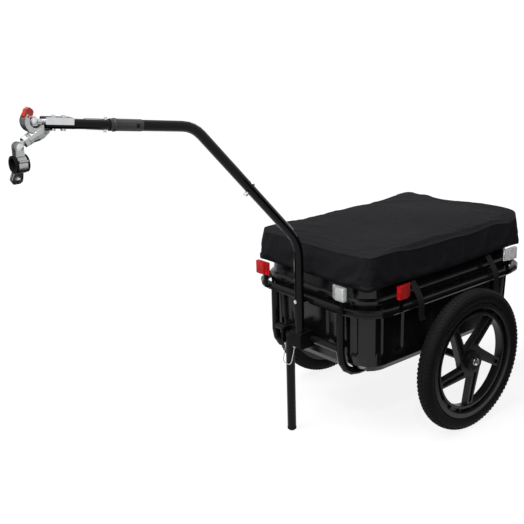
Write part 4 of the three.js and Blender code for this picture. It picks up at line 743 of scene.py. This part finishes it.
# Side, start and end (metres along the side, share of the drop), half width, height outwards
SKIRT_FOLDS = (
    ("front", (0.2, 0.02), (0.06, 0.62), 0.012, 0.0036),
    ("front", (0.19, 0.3), (0.1, 0.95), 0.010, -0.0026),
    ("front", (0.12, 0.05), (-0.05, 0.45), 0.012, 0.0024),
    ("front", (0.02, 0.08), (-0.13, 0.55), 0.014, 0.0026),
    ("front", (-0.15, 0.05), (-0.19, 0.9), 0.010, 0.0028),
    ("side", (-0.295, 0.1), (-0.24, 0.9), 0.012, 0.0026),
    ("side", (-0.21, 0.0), (-0.16, 0.8), 0.014, -0.0024),
    ("side", (-0.02, 0.05), (0.06, 0.7), 0.02, 0.002),
    ("side", (0.17, 0.0), (0.13, 0.8), 0.014, 0.003),
    ("side", (0.27, 0.05), (0.22, 0.9), 0.012, 0.0026),
)


def near_line(x, y, start, end):
    across, along = end[0] - start[0], end[1] - start[1]
    share = ((x - start[0]) * across + (y - start[1]) * along) / (across ** 2 + along ** 2)
    fade = math.sin(math.pi * min(max(share, 0), 1)) ** FOLD_FADE if 0 < share < 1 else 0
    share = min(max(share, 0), 1)
    return math.hypot(x - start[0] - across * share, y - start[1] - along * share), fade


def fold_height(x, y):
    total = 0.0
    for start, end, width, height in TOP_FOLDS:
        far, fade = near_line(x, y, (start[0] * COVER_HALF[0], start[1] * COVER_HALF[1]),
                              (end[0] * COVER_HALF[0], end[1] * COVER_HALF[1]))
        total += height * fade * math.exp(-(far / width) ** 2)
    return total


def rounded_place(s, t):
    x, y = s * COVER_HALF[0], t * COVER_HALF[1]
    dx = abs(x) - (COVER_HALF[0] - COVER_CORNER)
    dy = abs(y) - (COVER_HALF[1] - COVER_CORNER)
    if dx > 0 and dy > 0:
        shrink = max(dx, dy) / math.hypot(dx, dy)
        x = math.copysign(COVER_HALF[0] - COVER_CORNER + dx * shrink, x)
        y = math.copysign(COVER_HALF[1] - COVER_CORNER + dy * shrink, y)
    return x, y


def edge_drop(x, y):
    s, t = x / COVER_HALF[0], y / COVER_HALF[1]
    total = 0.0
    for gap, table, share in ((COVER_HALF[0] - x, NEAR_SEAM, t), (COVER_HALF[0] + x, FAR_SEAM, t),
                              (COVER_HALF[1] + y, FRONT_SEAM, s), (COVER_HALF[1] - y, BACK_SEAM, s)):
        reach = min(max(1 - gap / SHOULDER, 0), 1)
        ease = 1 if abs(share) < CORNER_SHARE else CORNER_EASE
        total += through(table, share) * reach ** SHOULDER_FALL * ease
    return total


def top_height(x, y):
    s, t = x / COVER_HALF[0], y / COVER_HALF[1]
    inside = max(0.0, 1 - abs(s) ** 3) * max(0.0, 1 - abs(t) ** 3)
    swell = 1 + 0.35 * math.sin(x * 14 + 0.6) * math.sin(y * 8 + 0.4) + 0.2 * math.sin(y * 17 - x * 9)
    crown = CROWN * inside ** CROWN_FULL * swell
    return TUB_TOP + RIM_CLEAR + crown + edge_drop(x, y) + fold_height(x, y)


print("middle of the top stands", round((top_height(0, 0) - TUB_TOP) * 1000, 1), "mm over the rim")

# %% [markdown]
# ## Cut the cloth
# The grid of the top and the rows of the skirt become one mesh, so the cloth solver treats
# them as one sheet. The skirt bellies out a little halfway down, flares at the hem, and
# its corners are tighter below than above. The flat layout is stored as UVs in metres,
# before anything moves, so that the weave later follows each fold.

# %% Build the cloth and its flat layout
SKIRT_ROWS = 14
SKIRT_DROP = 0.09
SKIRT_BELLY = 0.0022
SKIRT_EDGE = 0.03
CORNER_CUT = 0.414
HEM_RISE = 0.001
HEM_LIFT = 0.003


def skirt_push(x, y, share):
    total = 0.0
    for side, start, end, width, height in SKIRT_FOLDS:
        inside = -COVER_HALF[1] + SKIRT_EDGE < y if side == "front" else x < COVER_HALF[0] - SKIRT_EDGE
        if inside:
            continue
        far, fade = near_line(x if side == "front" else y, share * SKIRT_DROP,
                              (start[0], start[1] * SKIRT_DROP), (end[0], end[1] * SKIRT_DROP))
        total += height * fade * math.exp(-(far / width) ** 2)
    return total


def skirt_place(x, y, share):
    nx = math.copysign(max(0.0, abs(x) - COVER_HALF[0] + COVER_CORNER), x)
    ny = math.copysign(max(0.0, abs(y) - COVER_HALF[1] + COVER_CORNER), y)
    outward = Vector((nx, ny, 0)).normalized()
    squarer = (COVER_CORNER - HEM_CORNER) * CORNER_CUT * share * 4 * (outward.x * outward.y) ** 2
    belly = SKIRT_BELLY * math.sin(math.pi * share)
    push = COVER_FLARE * share + belly + squarer + skirt_push(x, y, share)
    return x + outward.x * push, y + outward.y * push


def crease_seam(data, seam):
    sharp = data.attributes.new("crease_edge", "FLOAT", "EDGE")
    for edge in data.edges:
        a, b = edge.vertices
        if a in seam and b in seam:
            sharp.data[edge.index].value = SEAM_CREASE
            edge.use_edge_sharp = True


def cover_cloth():
    columns, rows = COVER_CELLS
    cloth = bmesh.new()
    layer = cloth.loops.layers.uv.new("flat")
    grid = {}
    for i in range(columns + 1):
        for j in range(rows + 1):
            x, y = rounded_place(2 * i / columns - 1, 2 * j / rows - 1)
            grid[i, j] = cloth.verts.new((x, y + COVER_MIDDLE, top_height(x, y)))
    for i in range(columns):
        for j in range(rows):
            cloth.faces.new((grid[i, j], grid[i + 1, j], grid[i + 1, j + 1], grid[i, j + 1]))
    for face in cloth.faces:
        for loop in face.loops:
            loop[layer].uv = (loop.vert.co.x, loop.vert.co.y)
    around = [grid[i, 0] for i in range(columns)] + [grid[columns, j] for j in range(rows)]
    around += [grid[i, rows] for i in range(columns, 0, -1)] + [grid[0, j] for j in range(rows, 0, -1)]
    length = [0.0]
    for a, b in zip(around, around[1:] + around[:1]):
        length.append(length[-1] + (b.co - a.co).length)
    above = around
    hem_height = COVER_LOW.z + HEM_RISE
    for row in range(1, SKIRT_ROWS + 1):
        share = row / SKIRT_ROWS
        below = []
        for v in around:
            x, y = skirt_place(v.co.x, v.co.y - COVER_MIDDLE, share)
            lift = HEM_LIFT * (1 - math.cos(4 * math.pi * y)) * share
            height = v.co.z + (hem_height + lift - v.co.z) * share
            below.append(cloth.verts.new((x, y + COVER_MIDDLE, height)))
        for k in range(len(around)):
            n = (k + 1) % len(around)
            face = cloth.faces.new((above[k], below[k], below[n], above[n]))
            spots = ((length[k], 0), (length[k], 1), (length[k + 1], 1), (length[k + 1], 0))
            for loop, (u, step) in zip(face.loops, spots):
                loop[layer].uv = (u, -(row - 1 + step) * SKIRT_DROP / SKIRT_ROWS)
        above = below
    data = bpy.data.meshes.new("cover_cloth")
    cloth.verts.index_update()
    hem = [v.index for v in above]
    seam = [v.index for v in around]
    cloth.to_mesh(data)
    cloth.free()
    crease_seam(data, set(seam))
    return place_piece("cover_cloth", data), seam, hem


cover_piece, cover_seam, cover_hem = cover_cloth()
print("cover cloth has", len(cover_piece.data.vertices), "points")

# %% [markdown]
# ## Let the cover settle
# The solver needs something under the cloth. A hidden copy of its own start shape, a few
# millimetres lower, stands for the rim and the load. The hem is pinned, because its
# elastic holds it under the rim, and the seam is held softly. Gravity then draws the
# slack together in shallow folds. No point may move farther than a few millimetres, so
# the drawn outline stays.

# %% Simulate the cloth
SETTLE_FRAMES = 16
SETTLE_CAP = 0.005
SUPPORT_INSET = 0.003
SUPPORT_DROP = 0.0035
SUPPORT_SKIN = 0.001
HELD_CLOTH, HELD_SEAM, HELD_HEM = 0.02, 0.6, 1.0
CLOTH_NATURE = {"quality": 5, "mass": 0.2, "tension_stiffness": 18, "compression_stiffness": 12,
                "bending_stiffness": 0.8, "shrink_min": -0.018, "pin_stiffness": 1.0}


def stand_support(data):
    support_data = data.copy()
    support = place_piece("cover_support", support_data)
    for v in support_data.vertices:
        inward = Vector((v.co.x, v.co.y - COVER_MIDDLE, 0)).normalized() * SUPPORT_INSET
        v.co -= inward + Vector((0, 0, SUPPORT_DROP))
    support.modifiers.new("hard", "COLLISION")
    support.collision.thickness_outer = SUPPORT_SKIN
    return support


def settle_cover():
    data = cover_piece.data
    start = [v.co.copy() for v in data.vertices]
    support = stand_support(data)
    held = cover_piece.vertex_groups.new(name="held")
    held.add([v.index for v in data.vertices], HELD_CLOTH, "REPLACE")
    held.add(cover_seam, HELD_SEAM, "REPLACE")
    held.add(cover_hem, HELD_HEM, "REPLACE")
    cloth = cover_piece.modifiers.new("settle", "CLOTH")
    for trait, value in CLOTH_NATURE.items():
        setattr(cloth.settings, trait, value)
    cloth.settings.vertex_group_mass = "held"
    cloth.collision_settings.distance_min = SUPPORT_SKIN
    cloth.point_cache.frame_start = 1
    cloth.point_cache.frame_end = SETTLE_FRAMES
    for number in range(1, SETTLE_FRAMES + 1):
        scene.frame_set(number)
    settled = cover_piece.evaluated_get(bpy.context.evaluated_depsgraph_get()).to_mesh()
    places = [v.co.copy() for v in settled.vertices]
    cover_piece.evaluated_get(bpy.context.evaluated_depsgraph_get()).to_mesh_clear()
    cover_piece.modifiers.clear()
    cover_piece.vertex_groups.clear()
    moved = 0.0
    for v, a, b in zip(data.vertices, start, places):
        step = b - a
        if step.length > SETTLE_CAP:
            step = step.normalized() * SETTLE_CAP
        v.co = a + step
        moved = max(moved, step.length)
    scene.frame_set(1)
    bpy.data.objects.remove(support)
    return moved


print("cover settled, farthest point moved", round(settle_cover() * 1000, 1), "mm")

# %% [markdown]
# ## Seam and hem
# The hem is a folded band that hides the elastic. It follows the settled cloth's own
# points, so it can't drift off it. The seam is a plain turned one and shows only as the
# crease between top and skirt, so the cloth's own mesh gives it. The helper that sweeps a
# flat section along a path makes the straps too.

# %% Sew the hem band
HEM_BAND = 0.013
HEM_PROUD = 0.0008


def sweep_band(path, section, place, woven, closed):
    shape = bmesh.new()
    layer = shape.loops.layers.uv.new("flat")
    count = len(path)
    rings = []
    length = [0.0]
    for k, p in enumerate(path):
        ahead = path[(k + 1) % count] if closed or k < count - 1 else p
        behind = path[k - 1] if closed or k > 0 else p
        forward = (ahead - behind).normalized()
        rings.append([shape.verts.new(p + place(forward, a, b)) for a, b in section])
        length.append(length[-1] + (ahead - p).length)
    for k in range(count if closed else count - 1):
        first, second = rings[k], rings[(k + 1) % count]
        for m in range(len(section)):
            n = (m + 1) % len(section)
            face = shape.faces.new((first[m], second[m], second[n], first[n]))
            spots = ((length[k], section[m][woven]), (length[k + 1], section[m][woven]),
                     (length[k + 1], section[n][woven]), (length[k], section[n][woven]))
            for loop, spot in zip(face.loops, spots):
                loop[layer].uv = spot
    if not closed:
        shape.faces.new(rings[0])
        shape.faces.new(rings[-1][::-1])
    bmesh.ops.recalc_face_normals(shape, faces=shape.faces)
    return shape


def place_shape(name, shape, finish, sharp=None):
    data = bpy.data.meshes.new(name)
    smooth_mesh(shape, data, sharp)
    data.materials.append(finish)
    return place_piece(name, data)


def hem_point(forward, a, b):
    return forward.cross(Vector((0, 0, 1))).normalized() * a + Vector((0, 0, b))


cover_points = [v.co.copy() for v in cover_piece.data.vertices]
hem_path = [cover_points[k] for k in cover_hem]
hem_section = [(HEM_PROUD, 0), (HEM_PROUD * 1.5, HEM_BAND * 0.5), (HEM_PROUD, HEM_BAND),
               (-HEM_PROUD, HEM_BAND), (-HEM_PROUD, 0)]
hem_shape = sweep_band(hem_path, hem_section, hem_point, 1, True)
hem_band = place_shape("cover_hem_band", hem_shape, finishes["cover_fabric"])
cover_piece.data.materials.append(finishes["cover_fabric"])
cover_piece.data.shade_smooth()
smoother = cover_piece.modifiers.new("smoother", "SUBSURF")
smoother.levels = 1
smoother.render_levels = 1
for piece in (cover_piece, hem_band):
    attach(piece, "cover")
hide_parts("cover")

# %% [markdown]
# ## Straps
# Four straps of woven webbing hang from the hem, run down over the rail and end in a loose
# tail. They are short and stiff, so each is swept directly along its path, a few points
# with rounded bends between them.

# %% Sew the straps
STRAP_WIDTH = 0.022
STRAP_THICK = 0.0016
STRAP_BEND = 0.012
STRAP_BULGE = 1.1
# The first point, from the inner side at the top, then the rest from the outer side at the
# foot: outwards, towards the rear, and for the rest upwards, in metres
STRAP_TOP = (0.0016, -0.006)
STRAP_ROUTE = ((-0.006, -0.003, 0.072), (0, 0, 0.056), (0, 0.001, 0.036), (-0.004, 0.004, 0.016),
               (-0.0015, 0.010, 0))


def strap_path(points, bend, steps=5):
    path = [points[0]]
    for before, corner, after in zip(points, points[1:], points[2:]):
        back = (before - corner).normalized()
        on = (after - corner).normalized()
        reach = min(bend, (before - corner).length / 2, (after - corner).length / 2)
        for k in range(steps + 1):
            share = k / steps
            a = corner + back * reach * (1 - share)
            b = corner + on * reach * share
            path.append(a.lerp(b, share))
    path.append(points[-1])
    return path


def strap_point(forward, a, b):
    across = Vector((0, 1, 0))
    return across * a + forward.cross(across).normalized() * b


def sew_strap(name, side):
    middle, size = middle_and_size(name)
    skin = STRAP_THICK / 2
    inner, outer = side * middle.x - size.x / 2 + skin, side * middle.x + size.x / 2 - skin
    top, foot = middle.z + size.z / 2, middle.z - size.z / 2 + skin
    points = [Vector((side * (inner + STRAP_TOP[0]), middle.y + STRAP_TOP[1], top))]
    points += [Vector((side * (outer + out), middle.y + back, foot + up)) for out, back, up in STRAP_ROUTE]
    half, bulge = STRAP_WIDTH / 2, skin * STRAP_BULGE
    section = [(-half, -skin), (-half / 2, -bulge), (half / 2, -bulge), (half, -skin),
               (half, skin), (half / 2, bulge), (-half / 2, bulge), (-half, skin)]
    shape = sweep_band(strap_path(points, STRAP_BEND), section, strap_point, 0, False)
    piece = place_shape(name + "_webbing", shape, finishes["webbing"], sharp=40)
    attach(piece, "frame")
    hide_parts(name)
    return piece


straps = [sew_strap("strap_%s_%s" % (place, hand), side)
          for place in ("front", "rear") for hand, side in (("left", 1), ("right", -1))]
print("straps", [s.name for s in straps])

# %% [markdown]
# ## Tyres
# A small trailer tyre is round in section, with a fine block tread over its crown and
# ribbed side walls. The carcass is turned from its section, and the tread blocks are set
# on it one by one: five rows, each row half a block out of step with the next.

# %% Turn the tyres and set their tread
TYRE_SIDES = 144
TREAD_ROWS = ((-0.72, 0.30), (-0.37, 0.24), (0.0, 0.24), (0.37, 0.24), (0.72, 0.30))
TREAD_BLOCKS = 96
TREAD_HEIGHT = 0.0016
TREAD_ROOT = 0.0006
TREAD_TAPER = 0.8
BLOCK_SHARE = 0.62
BEAD_GRIP = 0.004
SIDE_SQUARE, CROWN_SQUARE = 0.9, 0.92
SIDE_TURN, SIDE_STEP = 150, 12


def turned(centre, section, sides):
    shape = bmesh.new()
    rings = []
    for k in range(sides):
        turn = 2 * math.pi * k / sides
        rings.append([shape.verts.new(round_the_axle(centre, a, r, turn)) for a, r in section])
    for k in range(sides):
        first, second = rings[k], rings[(k + 1) % sides]
        for m in range(len(section)):
            n = (m + 1) % len(section)
            shape.faces.new((first[m], first[n], second[n], second[m]))
    return shape


def round_the_axle(centre, across, radius, turn):
    return centre + Vector((across, radius * math.sin(turn), radius * math.cos(turn)))


def tyre_section(turn, half_width, outer, inner):
    across = math.sin(turn)
    away = math.cos(turn)
    reach = (outer - inner) / 2 * math.copysign(abs(away) ** CROWN_SQUARE, away)
    return half_width * math.copysign(abs(across) ** SIDE_SQUARE, across), (outer + inner) / 2 + reach


def make_tyre(hand):
    centre, size = middle_and_size("tyre_" + hand)
    half_width = size.x / 2
    outer = size.z / 2 - TREAD_HEIGHT
    inner = middle_and_size("wheel_" + hand)[1].z / 2 - BEAD_GRIP
    section = [tyre_section(math.radians(a), half_width, outer, inner)
               for a in range(-SIDE_TURN, SIDE_TURN + 1, SIDE_STEP)]
    shape = turned(centre, section, TYRE_SIDES)
    set_tread(shape, centre, half_width, outer, inner)
    bmesh.ops.recalc_face_normals(shape, faces=shape.faces)
    return place_shape("tyre_" + hand + "_rubber", shape, finishes["tyre"], sharp=35)


def set_tread(shape, centre, half_width, outer, inner):
    pitch = 2 * math.pi / TREAD_BLOCKS
    for row, (across, wide) in enumerate(TREAD_ROWS):
        for k in range(TREAD_BLOCKS):
            middle = pitch * (k + 0.5 * (row % 2))
            corners = []
            for height, size in ((-TREAD_ROOT, 1.0), (TREAD_HEIGHT, TREAD_TAPER)):
                for da, db in ((-1, -1), (1, -1), (1, 1), (-1, 1)):
                    place = across + da * wide / 2 * size
                    x, r = tyre_section(place, half_width + height, outer + height, inner)
                    turn = middle + db * size * BLOCK_SHARE / 2 * pitch
                    corners.append(shape.verts.new(round_the_axle(centre, x, r, turn)))
            for face in ((4, 5, 6, 7), (0, 1, 5, 4), (1, 2, 6, 5), (2, 3, 7, 6), (3, 0, 4, 7)):
                shape.faces.new([corners[i] for i in face])


for hand in ("left", "right"):
    tyre_piece = make_tyre(hand)
    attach(tyre_piece, "wheel_" + hand)
    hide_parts("tyre_" + hand)
print("tyres made with", TREAD_BLOCKS * len(TREAD_ROWS), "blocks each")

# %% [markdown]
# ## Rims
# The loaded rim is turned with few sides. This one has the same section, turned finely,
# and twice as many thin ribs between its inner ring and the tyre's channel.

# %% Turn the rims
RIM_SIDES = 120
RIM_RIBS = 20
# Radius and half width in metres, from the inner ring out to the tyre's channel
RIM_SECTION = ((0.132, 0.0115), (0.1335, 0.013), (0.139, 0.013), (0.139, 0.004), (0.151, 0.004),
               (0.151, 0.0165), (0.1525, 0.018), (0.165, 0.018), (0.165, 0.015), (0.156, 0.015))
RIB_WIDTH, RIB_THICK = 0.0208, 0.0022
RIB_REACH = (0.137, 0.1525)


def turn_rim(name):
    centre = middle_and_size(name)[0]
    section = [(a, r) for r, a in RIM_SECTION] + [(-a, r) for r, a in reversed(RIM_SECTION)]
    shape = turned(centre, section, RIM_SIDES)
    lift = Matrix.Translation((0, 0, sum(RIB_REACH) / 2))
    thin = Matrix.Diagonal((RIB_WIDTH, RIB_THICK, RIB_REACH[1] - RIB_REACH[0], 1))
    for k in range(RIM_RIBS):
        rib = bmesh.ops.create_cube(shape, size=1)["verts"]
        spin = Matrix.Translation(centre) @ Matrix.Rotation(2 * math.pi * k / RIM_RIBS, 4, "X")
        bmesh.ops.transform(shape, matrix=spin @ lift @ thin, verts=rib)
    bmesh.ops.recalc_face_normals(shape, faces=shape.faces)
    return place_shape(name + "_rim", shape, finishes["wheel_plastic"], sharp=35)


for hand in ("left", "right"):
    rim_piece = turn_rim("wheel_" + hand)
    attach(rim_piece, "wheel_" + hand)
    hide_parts("wheel_" + hand)
print("rims turned with", RIM_SIDES, "sides")
